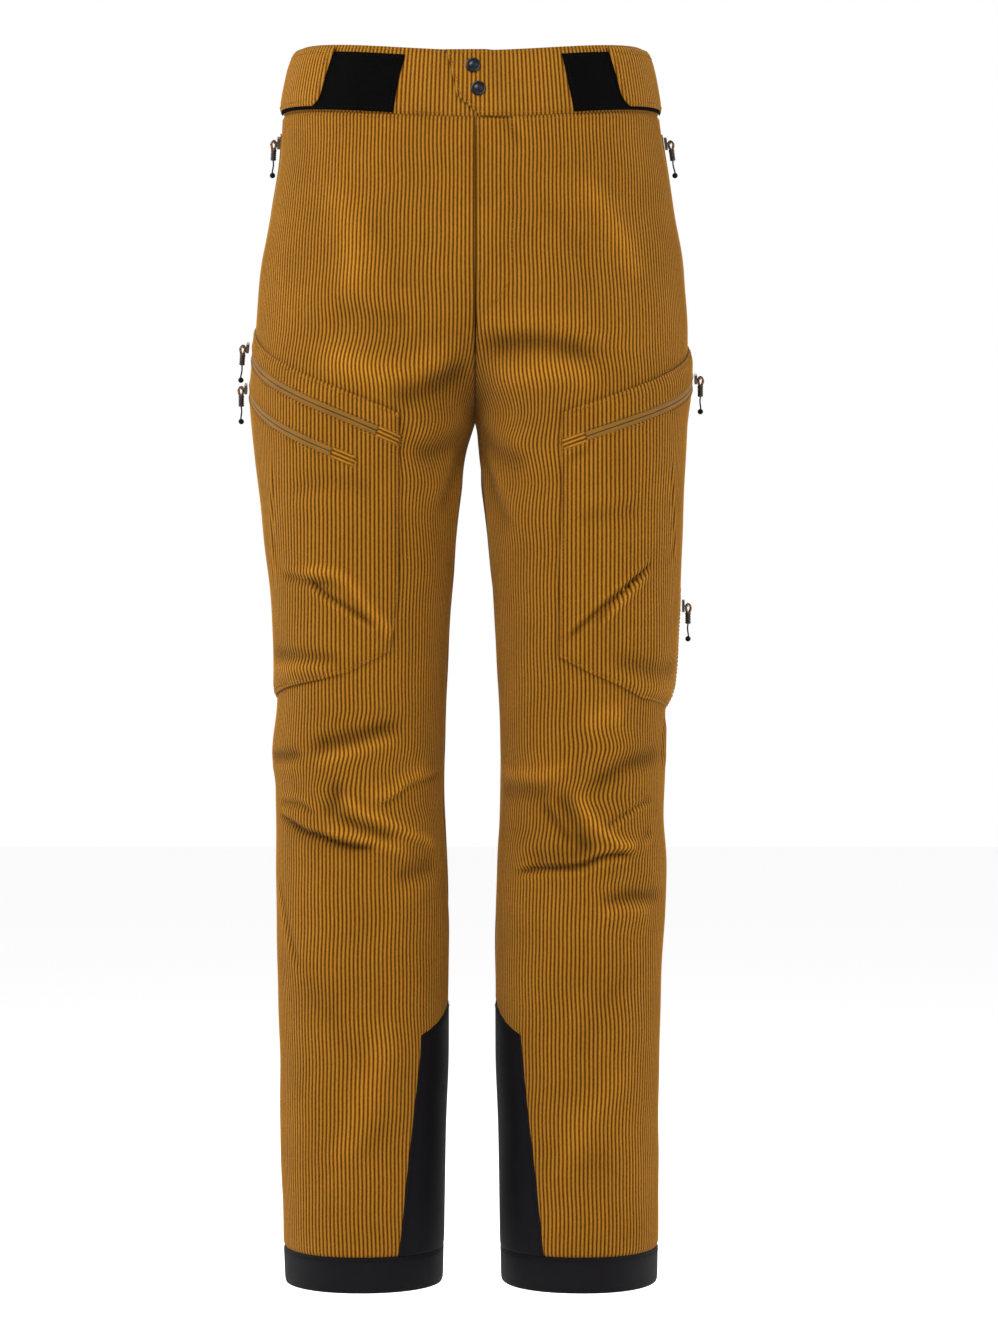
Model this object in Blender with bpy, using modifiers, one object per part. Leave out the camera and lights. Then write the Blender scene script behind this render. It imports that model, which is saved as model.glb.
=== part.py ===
"""Corduroy touring trousers, filled out as when worn, with cargo pockets and cord zip pulls.

Metres, +Z up, front towards -Y. The origin is the middle of the waist opening, level with
its top edge at the sides. Side +1 is the wearer's left (+X) and side -1 the wearer's right.
A place on a leg is given as a cloth maker gives it: s, the distance round from the outseam
(positive to the front, negative to the back), and z, the height.
"""

from functools import lru_cache

import bmesh
import bpy
import numpy as np
from mathutils import Matrix, Vector

LEFT, RIGHT = 1, -1
SIDE_NAMES = {LEFT: "left", RIGHT: "right"}

# Driving heights
CROTCH = -0.318
HEM = -1.059
HEM_BAND = 0.030
WAISTBAND = 0.056
RISE_CURVE = 0.130      # height over which the two legs part above the crotch
FRONT_DIP = 0.016       # the waist edge is lower at the centre front ...
BACK_RISE = 0.012       # ... and higher at the centre back
DIP_FADE = -0.200       # below this height the rows are level

# Cloth and its layers
SEAM = 0.0003           # gap between neighbouring pieces
CLOTH = 0.0017
BAND_CLOTH = 0.0024
TRIM = 0.0014
LIFT = 0.0006           # clearance of a piece that lies on another

# The outline of each leg: height and distance out from the middle
POWER = 2.2             # roundness of a section: 2 is an ellipse
OUTER = {
    RIGHT: [(0.020, 0.1440), (0.0, 0.1495), (-0.020, 0.1565), (-0.055, 0.1625), (-0.085, 0.1640),
            (-0.135, 0.1720), (-0.190, 0.1815), (-0.240, 0.1860), (-0.290, 0.1885), (-0.325, 0.1865),
            (-0.395, 0.1787), (-0.464, 0.1712), (-0.516, 0.1685), (-0.560, 0.1675), (-0.604, 0.1715),
            (-0.637, 0.1680), (-0.740, 0.1680), (-0.880, 0.1655), (-1.060, 0.1608)],
    LEFT: [(0.020, 0.1440), (0.0, 0.1490), (-0.020, 0.1548), (-0.055, 0.1608), (-0.085, 0.1650),
           (-0.135, 0.1740), (-0.190, 0.1835), (-0.240, 0.1865), (-0.290, 0.1865), (-0.325, 0.1835),
           (-0.395, 0.1797), (-0.464, 0.1760), (-0.516, 0.1735), (-0.545, 0.1705), (-0.566, 0.1660),
           (-0.604, 0.1660), (-0.655, 0.1652), (-0.700, 0.1675), (-0.775, 0.1645), (-0.880, 0.1615),
           (-1.060, 0.1600)],
}
CENTRE_X = [(0.020, 0.004), (-0.200, 0.004), (-0.318, 0.0025), (-0.350, 0.0005), (-1.060, 0.0)]
HALF_GAP = [(-0.318, 0.0002), (-0.330, 0.0034), (-0.345, 0.0062), (-0.378, 0.0100), (-0.430, 0.0150),
            (-0.516, 0.0212), (-0.600, 0.0245), (-0.640, 0.0250), (-0.700, 0.0220), (-0.760, 0.0206),
            (-0.860, 0.0208), (-0.930, 0.0232), (-1.060, 0.0252)]
FRONT_Y = [(0.020, -0.103), (0.0, -0.105), (-0.055, -0.110), (-0.120, -0.116), (-0.190, -0.119),
           (-0.250, -0.117), (-0.320, -0.107), (-0.420, -0.101), (-0.520, -0.097), (-0.600, -0.095),
           (-0.650, -0.092), (-0.720, -0.085), (-0.850, -0.079), (-1.060, -0.078)]
BACK_Y = [(0.020, 0.104), (0.0, 0.108), (-0.055, 0.116), (-0.120, 0.132), (-0.190, 0.142),
          (-0.240, 0.138), (-0.300, 0.119), (-0.360, 0.103), (-0.450, 0.090), (-0.560, 0.078),
          (-0.640, 0.071), (-0.700, 0.074), (-0.800, 0.083), (-0.900, 0.086), (-1.060, 0.083)]
SIDE_Y = [(0.020, 0.0), (-0.190, 0.004), (-0.318, 0.0), (-0.600, -0.008), (-1.060, 0.002)]

# Largest folds of each leg: depth (in is negative), half width, then the places along it
FOLDS = {
    RIGHT: [(-0.0045, 0.010, [(0.036, -0.652), (0.093, -0.674), (0.140, -0.683)]),
            (0.0030, 0.009, [(0.112, -0.640), (0.150, -0.661), (0.200, -0.680)]),
            (-0.0030, 0.012, [(0.170, -0.584), (0.108, -0.603), (0.064, -0.607)]),
            (-0.0040, 0.011, [(-0.060, -0.655), (-0.125, -0.648), (-0.190, -0.660)]),
            (-0.0030, 0.010, [(-0.100, -0.684), (-0.160, -0.690), (-0.205, -0.684)])],
    LEFT: [(-0.0045, 0.010, [(0.078, -0.687), (0.125, -0.698), (0.180, -0.703)]),
           (-0.0030, 0.012, [(0.070, -0.604), (0.129, -0.637)]),
           (-0.0028, 0.010, [(0.168, -0.638), (0.137, -0.680)]),
           (-0.0040, 0.011, [(-0.055, -0.660), (-0.120, -0.652), (-0.185, -0.664)]),
           (-0.0030, 0.010, [(-0.095, -0.690), (-0.160, -0.695), (-0.205, -0.688)])],
}

LEG_LEVELS = [-WAISTBAND - SEAM, -0.085, -0.120, -0.160, -0.195, -0.225, -0.250, -0.272, -0.290, -0.304,
              -0.3115, -0.3167, CROTCH, -0.332, -0.360, -0.400, -0.440, -0.480, -0.520, -0.550, -0.575,
              -0.597, -0.615, -0.632, -0.648, -0.664, -0.680, -0.697, -0.718, -0.750, -0.800, -0.860,
              -0.930, -0.990, HEM + HEM_BAND + SEAM]
LEG_COLUMNS = 9

# Waistband: the left front laps over the right one
LAP_PAST = 0.020        # how far the lap goes past the centre
LAP_LIFT = BAND_CLOTH + 0.0013
LAP_RAMP = (0.022, 0.010)
LAP_UNDER = 0.004       # how far the right front goes under it
LAP_CORNER = 0.017      # height of its cut corner
PATCH_FRONT = {RIGHT: 0.157, LEFT: 0.135}
PATCH_SIDE = 0.008
PATCH_LOW, PATCH_HIGH = 0.001, 0.050
PATCH_CLOTH = 0.0012
TAB_BACK = -0.012
TAB_FRONT = 0.090
TAB_LOW, TAB_HIGH = 0.0035, 0.0530
SNAP_HEIGHTS_UP = {"upper": 0.0420, "lower": 0.0224}    # above the waistband's base
SNAP_RADIUS, SNAP_HEIGHT = 0.0063, 0.0030

# Cargo pockets: the front edge as (z, s), and straight top and bottom edges as (s, z)
CARGO_BACK = -0.062
CARGO_FRONT = {RIGHT: [(-0.300, 0.198), (-0.318, 0.195), (-0.475, 0.169), (-0.540, 0.153)],
               LEFT: [(-0.300, 0.178), (-0.318, 0.176), (-0.392, 0.167), (-0.540, 0.156)]}
CARGO_TOP = {RIGHT: [(-0.080, -0.222), (0.0, -0.236), (0.196, -0.3195)],
             LEFT: [(-0.080, -0.238), (0.0, -0.254), (0.178, -0.3190)]}
CARGO_BOTTOM = {RIGHT: [(-0.080, -0.557), (0.0, -0.557), (0.100, -0.541), (0.124, -0.535), (0.158, -0.518)],
                LEFT: [(-0.080, -0.568), (0.0, -0.567), (0.076, -0.557), (0.129, -0.536), (0.160, -0.521)]}
CARGO_COLUMNS, CARGO_ROWS = 16, 12
CARGO_LIFT = 0.0016
CARGO_FACE = CARGO_LIFT + CLOTH

# Zips as start, where the slider is, and end, both (s, z); the lift is what they lie on
ZIP_WIDTH = 0.0080
ZIP_TABS = 0.020
ZIPS = {
    "cargo_right_upper": (RIGHT, (-0.004, -0.252), (0.173, -0.3335), CARGO_FACE),
    "cargo_right_lower": (RIGHT, (-0.004, -0.287), (0.133, -0.3510), CARGO_FACE),
    "cargo_left_upper": (LEFT, (-0.004, -0.279), (0.153, -0.3385), CARGO_FACE),
    "cargo_left_side": (LEFT, (0.006, -0.470), (0.006, -0.556), CARGO_FACE),
    "hand_right": (RIGHT, (0.004, -0.070), (-0.016, -0.215), 0.0),
    "hand_left": (LEFT, (0.004, -0.071), (-0.016, -0.215), 0.0),
}
TABBED = ("cargo_right_upper", "cargo_right_lower", "cargo_left_upper")
SLIDER_IN = 0.008       # from the zip's start to the slider's middle

# Slider and pull, measured from the pull's axis, the middle of the slider's bridge
SLIDER = (0.0080, 0.0110, 0.0022)
SLIDER_GAP = 0.0005
BRIDGE_RADIUS, BRIDGE_HALF = 0.0007, 0.0026
LOOP_RADIUS, LOOP_CORD = 0.00190, 0.00070
AXIS_HEIGHT = LOOP_RADIUS + LOOP_CORD + 0.00030
GRIP_TOP, GRIP_BOTTOM, GRIP_RADIUS = -0.0050, -0.0155, 0.0025
STRING_RADIUS, BALL_RADIUS, BALL_MIDDLE = 0.0006, 0.0026, -0.0285

# Scuff guards: half width round from the inseam at the band and at the shoulder
GUARD_LOW, GUARD_SHOULDER = (-1.0284, 0.085), (-0.843, 0.062)
GUARD_PEAK = -0.818
GUARD_FACE = 0.0010 + TRIM

CORDUROY = ("corduroy", (0.434, 0.181, 0.020), 0.9, 0.0)
CORDUROY_TRIM = ("corduroy_trim", (0.480, 0.213, 0.034), 0.9, 0.0)
LOOP_FABRIC = ("loop_fabric", (0.004, 0.003, 0.004), 1.0, 0.0)
SHELL_FABRIC = ("shell_fabric", (0.011, 0.010, 0.012), 0.6, 0.0)
ZIP_TAPE = ("zip_tape", (0.509, 0.262, 0.061), 0.7, 0.0)
METAL = ("metal", (0.060, 0.060, 0.065), 0.35, 1.0)
CORD = ("cord", (0.230, 0.120, 0.070), 0.85, 0.0)
RUBBER = ("rubber", (0.030, 0.018, 0.014), 0.6, 0.0)
STRING = ("string", (0.008, 0.008, 0.009), 0.7, 0.0)


def clear_scene():
    for obj in list(bpy.data.objects):
        bpy.data.objects.remove(obj, do_unlink=True)
    bpy.context.scene.unit_settings.scale_length = 1.0


def finish_of(spec):
    """The Principled material of one finish."""
    name, colour, roughness, metallic = spec
    material = bpy.data.materials.get(name)
    if material is None:
        material = bpy.data.materials.new(name)
        material.use_nodes = True
        shader = material.node_tree.nodes["Principled BSDF"]
        shader.inputs["Base Color"].default_value = (*colour, 1.0)
        shader.inputs["Roughness"].default_value = roughness
        shader.inputs["Metallic"].default_value = metallic
        material.diffuse_color = (*colour, 1.0)
    return material


# ---------------------------------------------------------------- the form of the trousers


def ease(t):
    t = min(max(t, 0.0), 1.0)
    return t * t * (3 - 2 * t)


def along(points, at):
    """A smooth curve through (place, value) points that doesn't swing past them."""
    places, values = np.array(sorted(points)).T
    at = min(max(at, places[0]), places[-1])
    steps = np.diff(places)
    slopes = np.diff(values) / steps
    inner = [0.0 if a * b <= 0 else 2 * a * b / (a + b) for a, b in zip(slopes, slopes[1:])]
    tangents = [slopes[0], *inner, slopes[-1]]
    i = min(max(int(np.searchsorted(places, at)) - 1, 0), len(steps) - 1)
    t = (at - places[i]) / steps[i]
    start = (2 * t**3 - 3 * t**2 + 1) * values[i] + (t**3 - 2 * t**2 + t) * steps[i] * tangents[i]
    end = (3 * t**2 - 2 * t**3) * values[i + 1] + (t**3 - t**2) * steps[i] * tangents[i + 1]
    return float(start + end)


def straight(points, at):
    """The value at a place on straight lines through (place, value) points."""
    places, values = np.array(sorted(points)).T
    return float(np.interp(at, places, values))


def signed_power(value, power):
    return np.sign(value) * np.abs(value) ** power


class Section:
    """The level section of one half of the trousers: a flattened ellipse, cut at the middle
    above the crotch and whole, as a leg, below it."""

    STEPS = 1440

    def __init__(self, side, z):
        gap = along(HALF_GAP, z) if z < CROTCH else HALF_GAP[0][1]
        middle = along(CENTRE_X, z)
        outer = abs(side * along(OUTER[side], z) - middle)
        rise = (z - CROTCH) / RISE_CURVE
        self.legness = (1.0 - min(max(rise, 0.0), 1.0) ** 1.4) ** 1.5
        self.half_width = (outer - gap) / (1 + self.legness)
        side_y = along(SIDE_Y, z)
        self.front_depth = side_y - along(FRONT_Y, z)
        self.back_depth = along(BACK_Y, z) - side_y
        self.side = side
        self.angles = np.linspace(-np.pi, np.pi, self.STEPS + 1)
        reach = self.half_width * (self.legness + signed_power(np.cos(self.angles), 2 / POWER))
        depth = np.where(self.angles > 0, self.front_depth, self.back_depth)
        self.x = middle + side * (gap + reach)
        self.y = side_y - depth * signed_power(np.sin(self.angles), 2 / POWER)
        run = np.concatenate([[0.0], np.cumsum(np.hypot(np.diff(self.x), np.diff(self.y)))])
        self.s = run - run[self.STEPS // 2]
        turn = np.arccos(-self.legness ** (POWER / 2))
        self.front = float(np.interp(turn, self.angles, self.s))
        self.back = float(-np.interp(-turn, self.angles, self.s))
        self.is_leg = z < CROTCH

    def place(self, s):
        """The point and the level outward direction at s."""
        if self.is_leg and s > self.front:
            s -= self.front + self.back
        if self.is_leg and s < -self.back:
            s += self.front + self.back
        angle = float(np.interp(s, self.s, self.angles))
        depth = self.front_depth if angle > 0 else self.back_depth
        across = signed_power(signed_power(np.cos(angle), 2 / POWER), POWER - 1) / self.half_width
        ahead = signed_power(signed_power(np.sin(angle), 2 / POWER), POWER - 1) / depth
        point = np.array([np.interp(s, self.s, self.x), np.interp(s, self.s, self.y)])
        outward = np.array([self.side * across, -ahead])
        return point, outward / np.hypot(*outward)


@lru_cache(maxsize=None)
def section_at(side, micrometres):
    return Section(side, micrometres / 1e6)


def section(side, z):
    return section_at(side, round(z * 1e6))


def distance_to(path, s, z):
    """The distance from a place to a run of straight pieces, and the share along it."""
    here = np.array([s, z])
    best = (1.0, 0.0)
    count = len(path) - 1
    for i in range(count):
        start, end = np.array(path[i]), np.array(path[i + 1])
        share = float(np.clip(np.dot(here - start, end - start) / np.dot(end - start, end - start), 0, 1))
        best = min(best, (float(np.hypot(*(here - start - share * (end - start)))), (i + share) / count))
    return best


def fold(side, s, z, ends):
    """How far the cloth stands out or in at a place, fading to nothing at the inseams."""
    near_seam = min(ends[0] - s, ends[1] + s)
    total = 0.0
    for depth, width, path in FOLDS[side]:
        distance, share = distance_to(path, s, z)
        fade = ease(4 * share) * ease(4 * (1 - share))
        total += depth * fade * np.exp(-((distance / width) ** 2))
    return total * ease(near_seam / 0.020)


def surface(side, s, z, lift=0.0, folded=True):
    """The point on the cloth's outer face, moved out by lift, and its outward direction."""
    here = section(side, z)
    point, level = here.place(s)
    step = 0.0005
    above, below = section(side, z + step), section(side, z - step)
    share = s / (here.front if s > 0 else here.back)
    (high, _), (low, _) = (near.place(share * (near.front if s > 0 else near.back)) for near in (above, below))
    slope = float(np.dot(level, (high - low) / (2 * step)))
    normal = Vector((level[0], level[1], -slope)).normalized()
    proud = fold(side, s, z, (here.front, here.back)) if folded and here.is_leg else 0.0
    base = Vector((point[0], point[1], z)) + Vector((level[0], level[1], 0.0)) * proud
    return base + normal * lift, normal


def waist_shift(side, s):
    """How far the waist edge is above (back) or below (front) its height at the side."""
    near_waist = section(side, -WAISTBAND / 2)
    if s >= 0:
        return -FRONT_DIP * ease(s / near_waist.front)
    return BACK_RISE * ease(-s / near_waist.back)


# ---------------------------------------------------------------- cloth pieces


def add_object(name, mesh, finish, parts):
    obj = bpy.data.objects.new(name, mesh)
    mesh.materials.append(finish_of(finish))
    parts.objects.link(obj)
    return obj


def cloth(name, stations, levels, place, thickness, finish, parts):
    """A wall of cloth: a grid laid on the outer face by place(station, level), with its inner
    side extruded and moved in square to the cloth."""
    mesh = bmesh.new()
    columns, rows = len(stations) - 1, len(levels) - 1
    bmesh.ops.create_grid(mesh, x_segments=columns, y_segments=rows, size=0.5)
    made = bmesh.ops.extrude_face_region(mesh, geom=mesh.faces[:], use_keep_orig=True)
    inner = {item for item in made["geom"] if isinstance(item, bmesh.types.BMVert)}
    for vert in mesh.verts:
        station = stations[round((vert.co.x + 0.5) * columns)]
        level = levels[round((vert.co.y + 0.5) * rows)]
        point, normal = place(station, level)
        vert.co = point - normal * thickness if vert in inner else point
    bmesh.ops.recalc_face_normals(mesh, faces=mesh.faces[:])
    if mesh.calc_volume(signed=True) < 0:
        bmesh.ops.reverse_faces(mesh, faces=mesh.faces[:])
    data = bpy.data.meshes.new(name)
    mesh.to_mesh(data)
    mesh.free()
    return add_object(name, data, finish, parts)


def spread(start, end, count):
    return [start + (end - start) * i / count for i in range(count + 1)]


def leg_panel(side, facing, parts):
    """A front (facing 1) or back (facing -1) panel, from the waistband to the hem band."""

    def place(share, level):
        fade = ease((level - DIP_FADE) / (-WAISTBAND - DIP_FADE))
        nominal = section(side, level)
        length = nominal.front if facing > 0 else nominal.back
        z = level + fade * waist_shift(side, facing * share * length)
        here = section(side, z)
        length = here.front if facing > 0 else here.back
        return surface(side, facing * (SEAM / 2 + share * (length - SEAM)), z)

    name = ("front_" if facing > 0 else "back_") + SIDE_NAMES[side]
    cloth(name, spread(0.0, 1.0, LEG_COLUMNS), LEG_LEVELS, place, CLOTH, CORDUROY, parts)


def band_place(side, s, height, lift=0.0):
    """A place on the waistband, by its height above the band's base."""
    return surface(side, s, waist_shift(side, s) - WAISTBAND + height, lift)


def half_waist(side):
    return section(side, -WAISTBAND / 2 - FRONT_DIP / 2)


def waistband_left(parts):
    centre = half_waist(LEFT).front
    ramp_start, ramp_end = centre - LAP_RAMP[0], centre - LAP_RAMP[1]
    corner = centre + LAP_UNDER
    stations = spread(SEAM / 2, ramp_start, 9) + [(ramp_start + ramp_end) / 2, ramp_end]
    stations += [corner, corner + (LAP_PAST - LAP_UNDER) / 2, centre + LAP_PAST]

    def place(s, share):
        base = LAP_CORNER * min(max((s - corner) / (LAP_PAST - LAP_UNDER), 0.0), 1.0)
        lift = LAP_LIFT * ease((s - ramp_start) / (ramp_end - ramp_start))
        return band_place(LEFT, s, base + share * (WAISTBAND - base), lift)

    cloth("waistband_front_left", stations, [0.0, 0.5, 1.0], place, BAND_CLOTH, CORDUROY_TRIM, parts)


def waistband_right(parts):
    stations = spread(SEAM / 2, half_waist(RIGHT).front + LAP_UNDER, 11)
    cloth("waistband_front_right", stations, [0.0, WAISTBAND / 2, WAISTBAND],
          lambda s, height: band_place(RIGHT, s, height), BAND_CLOTH, CORDUROY_TRIM, parts)


def waistband_back(parts):
    """One piece round the back, from outseam to outseam."""

    def place(share, height):
        side = LEFT if share >= 0 else RIGHT
        return band_place(side, -(1 - abs(share)) * half_waist(side).back - SEAM / 2, height)

    cloth("waistband_back", spread(-1.0, 1.0, 22), [0.0, WAISTBAND / 2, WAISTBAND], place,
          BAND_CLOTH, CORDUROY_TRIM, parts)


def waist_closures(side, parts):
    """The loop patch on one side of the waistband and the adjuster tab that closes over it."""
    name = SIDE_NAMES[side]
    patch_lift = LIFT + PATCH_CLOTH
    cloth("loop_patch_" + name, spread(PATCH_SIDE, PATCH_FRONT[side], 9), [PATCH_LOW, WAISTBAND / 2, PATCH_HIGH],
          lambda s, height: band_place(side, s, height, patch_lift), PATCH_CLOTH, LOOP_FABRIC, parts)

    def tab_place(share, height):
        low = (height - TAB_LOW) / (TAB_HIGH - TAB_LOW)
        front = TAB_FRONT - 0.004 * (1 - low) - 0.005 * (1 - ease(low / 0.2))
        return band_place(side, TAB_BACK + share * (front - TAB_BACK), height, patch_lift + LIFT + TRIM)

    levels = [TAB_LOW, TAB_LOW + 0.004, TAB_LOW + 0.010, WAISTBAND / 2, TAB_HIGH]
    cloth("adjuster_tab_" + name, spread(0.0, 1.0, 8), levels, tab_place, TRIM, CORDUROY_TRIM, parts)


def cargo_pocket(side, parts):
    """A flat pocket round the outseam, with slanted top and bottom edges."""

    def place(across, up):
        z = -0.42
        for _ in range(6):
            front = straight(CARGO_FRONT[side], z)
            s = front + across * (CARGO_BACK - front)
            low, high = straight(CARGO_BOTTOM[side], s), straight(CARGO_TOP[side], s)
            z = low + up * (high - low)
        return surface(side, s, z, CARGO_FACE, folded=False)

    cloth("cargo_pocket_" + SIDE_NAMES[side], spread(0.0, 1.0, CARGO_COLUMNS),
          spread(0.0, 1.0, CARGO_ROWS), place, CLOTH, CORDUROY, parts)


def hem_band(side, parts):
    """One strip round the hem, its ends meeting at the inseam."""
    ring = section(side, HEM)

    def place(share, z):
        here = section(side, z)
        length = here.front + here.back - SEAM
        return surface(side, -here.back + SEAM / 2 + share * length, z)

    columns = round((ring.front + ring.back) / 0.024)
    cloth("hem_band_" + SIDE_NAMES[side], spread(0.0, 1.0, columns), [HEM, HEM + HEM_BAND],
          place, CLOTH, SHELL_FABRIC, parts)


def scuff_guard(side, parts):
    """A tall patch over the inseam, pointed at the top, on the inner side of the shin."""
    (low_z, low_half), (shoulder_z, shoulder_half) = GUARD_LOW, GUARD_SHOULDER

    def place(across, up):
        top = GUARD_PEAK + (shoulder_z - GUARD_PEAK) * abs(across)
        z = low_z + up * (top - low_z)
        half = low_half + (shoulder_half - low_half) * (z - low_z) / (shoulder_z - low_z)
        return surface(side, section(side, z).front - across * half, z, GUARD_FACE)

    cloth("scuff_guard_" + SIDE_NAMES[side], spread(-1.0, 1.0, 10), spread(0.0, 1.0, 5), place,
          TRIM, SHELL_FABRIC, parts)


def zip_strip(name, spec, start, end, width, finish, parts):
    """A strip laid on a leg from start to end, both (s, z), over what the zip lies on."""
    side, _, _, under = spec
    start, end = np.array(start), np.array(end)
    length = float(np.hypot(*(end - start)))
    lengthwise = (end - start) / length
    sideways = np.array([-lengthwise[1], lengthwise[0]])

    def place(run, off):
        s, z = start + run * lengthwise + off * sideways
        return surface(side, float(s), float(z), under + LIFT + TRIM, folded=False)

    cloth(name, spread(0.0, length, max(2, round(length / 0.012))), [-width / 2, width / 2], place,
          TRIM, finish, parts)


def zips(parts):
    for name, spec in ZIPS.items():
        _, start, end, _ = spec
        zip_strip("zip_" + name, spec, start, end, ZIP_WIDTH, ZIP_TAPE, parts)
        if name in TABBED:
            run = np.array(end) - np.array(start)
            run /= np.hypot(*run)
            zip_strip("zip_end_" + name, spec, end + run * SEAM, end + run * ZIP_TABS,
                      ZIP_WIDTH + 0.004, CORDUROY_TRIM, parts)


# ---------------------------------------------------------------- hard pieces


def mesh_of(obj):
    """The evaluated mesh of an object, which is then removed."""
    graph = bpy.context.evaluated_depsgraph_get()
    mesh = bpy.data.meshes.new_from_object(obj.evaluated_get(graph))
    bpy.data.objects.remove(obj, do_unlink=True)
    return mesh


def joined(name, first, second, finish, parts):
    """Two objects made one body by a Boolean union."""
    union = first.modifiers.new("union", "BOOLEAN")
    union.operation = "UNION"
    union.solver = "EXACT"
    union.object = second
    mesh = mesh_of(first)
    bpy.data.objects.remove(second, do_unlink=True)
    mesh.materials.clear()
    return add_object(name, mesh, finish, parts)


def helper(name, build, parts):
    """A plain object from a bmesh function, to be joined to another."""
    mesh = bmesh.new()
    build(mesh)
    data = bpy.data.meshes.new(name)
    mesh.to_mesh(data)
    mesh.free()
    obj = bpy.data.objects.new(name, data)
    parts.objects.link(obj)
    return obj


def turned(name, profile, steps, finish, parts):
    """A solid of revolution about Z from (radius, height) points, top to bottom."""
    mesh = bpy.data.meshes.new(name)
    edges = [(i, i + 1) for i in range(len(profile) - 1)]
    mesh.from_pydata([(radius, 0.0, height) for radius, height in profile], edges, [])
    obj = add_object(name, mesh, finish, parts)
    screw = obj.modifiers.new("turn", "SCREW")
    screw.steps = screw.render_steps = steps
    screw.use_merge_vertices = True
    screw.merge_threshold = 0.00001
    screw.use_smooth_shade = True
    return obj


def axis_frame(spec):
    """The middle of the slider's bridge and its directions: out, along the bridge, and up."""
    side, start, end, under = spec
    run = np.array(end) - np.array(start)
    run /= np.hypot(*run)
    s, z = np.array(start) + run * SLIDER_IN
    zip_face = under + LIFT + TRIM
    point, normal = surface(side, float(s), float(z), zip_face, folded=False)
    if normal.z < 0:
        out = Vector((normal.x, normal.y, 0.0)).normalized()
    else:
        out = normal
    axis = Vector((0.0, 0.0, 1.0)).cross(out).normalized()
    up = out.cross(axis)
    height = SLIDER_GAP + SLIDER[2] + AXIS_HEIGHT
    frame = Matrix((out, axis, up)).transposed().to_4x4()
    frame.translation = point + out * height
    return frame, float(np.arctan2(run[1], -side * run[0]))


def slider(name, frame, angle, parts):
    """The slider's body, turned along the zip, with the arch that holds the pull."""

    def body(mesh):
        made = bmesh.ops.create_cube(mesh, size=1.0)
        wide, long, thick = SLIDER
        bmesh.ops.scale(mesh, vec=(thick, long, wide), verts=made["verts"])
        upright = [edge for edge in mesh.edges if abs(edge.verts[0].co.x - edge.verts[1].co.x) > thick / 2]
        bmesh.ops.bevel(mesh, geom=upright, offset=0.0022, segments=2, affect="EDGES", profile=0.5)
        bmesh.ops.rotate(mesh, verts=mesh.verts, cent=(0, 0, 0), matrix=Matrix.Rotation(angle, 3, "X"))
        bmesh.ops.translate(mesh, verts=mesh.verts, vec=(-AXIS_HEIGHT - thick / 2, 0, 0))

    path = bpy.data.curves.new("bridge", "CURVE")
    path.dimensions = "3D"
    path.bevel_depth = BRIDGE_RADIUS
    path.bevel_resolution = 1
    path.use_fill_caps = True
    line = path.splines.new("POLY")
    foot, shoulder = -AXIS_HEIGHT - SLIDER[2] / 2, 0.0006
    points = [(foot, -BRIDGE_HALF), (-shoulder, -BRIDGE_HALF), (0.0, -BRIDGE_HALF + shoulder)]
    points += [(x, -y) for x, y in reversed(points)]
    line.points.add(len(points) - 1)
    for spot, (x, y) in zip(line.points, points):
        spot.co = (x, y, 0.0, 1.0)
    arch = bpy.data.objects.new("bridge", path)
    parts.objects.link(arch)
    arch_mesh = mesh_of(arch)
    weld = bmesh.new()
    weld.from_mesh(arch_mesh)
    bmesh.ops.remove_doubles(weld, verts=weld.verts, dist=1e-6)
    weld.to_mesh(arch_mesh)
    weld.free()
    arch = bpy.data.objects.new("bridge", arch_mesh)
    parts.objects.link(arch)
    obj = joined("slider_" + name, helper("body", body, parts), arch, METAL, parts)
    obj.matrix_world = frame


def pull(name, frame, parts):
    """A cord loop through the arch, a barrel grip, and a string that ends in a ball."""
    pivot = bpy.data.objects.new("axis_" + name, None)
    pivot.matrix_world = frame
    parts.objects.link(pivot)

    bpy.ops.mesh.primitive_torus_add(major_radius=LOOP_RADIUS, minor_radius=LOOP_CORD, major_segments=14,
                                     minor_segments=6, rotation=(np.pi / 2, 0.0, 0.0))
    ring = bpy.context.object
    ring.data.transform(ring.matrix_basis)
    ring.matrix_basis = Matrix.Identity(4)
    for home in list(ring.users_collection):
        home.objects.unlink(ring)
    parts.objects.link(ring)
    neck_top = -LOOP_RADIUS

    def neck(mesh):
        bottom = GRIP_TOP + SEAM
        bmesh.ops.create_cone(mesh, cap_ends=True, segments=8, radius1=0.0009, radius2=0.0009,
                              depth=neck_top - bottom, matrix=Matrix.Translation((0, 0, (neck_top + bottom) / 2)))

    loop = joined("pull_loop_" + name, ring, helper("neck", neck, parts), CORD, parts)
    chamfer = 0.0008
    grip = turned("pull_grip_" + name, [
        (0.0, GRIP_TOP), (GRIP_RADIUS - chamfer, GRIP_TOP), (GRIP_RADIUS, GRIP_TOP - chamfer),
        (GRIP_RADIUS, GRIP_BOTTOM + chamfer), (GRIP_RADIUS - chamfer, GRIP_BOTTOM), (0.0, GRIP_BOTTOM),
    ], 10, RUBBER, parts)
    string_top = GRIP_BOTTOM - SEAM
    round_ball = [(BALL_RADIUS * np.sin(a), BALL_MIDDLE + BALL_RADIUS * np.cos(a))
                  for a in np.radians([28, 60, 90, 120, 150])]
    ball = turned("pull_ball_" + name, [
        (0.0, string_top), (STRING_RADIUS, string_top),
        (STRING_RADIUS, BALL_MIDDLE + BALL_RADIUS), *round_ball, (0.0, BALL_MIDDLE - BALL_RADIUS),
    ], 10, STRING, parts)
    for piece in (loop, grip, ball):
        piece.parent = pivot


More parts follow.
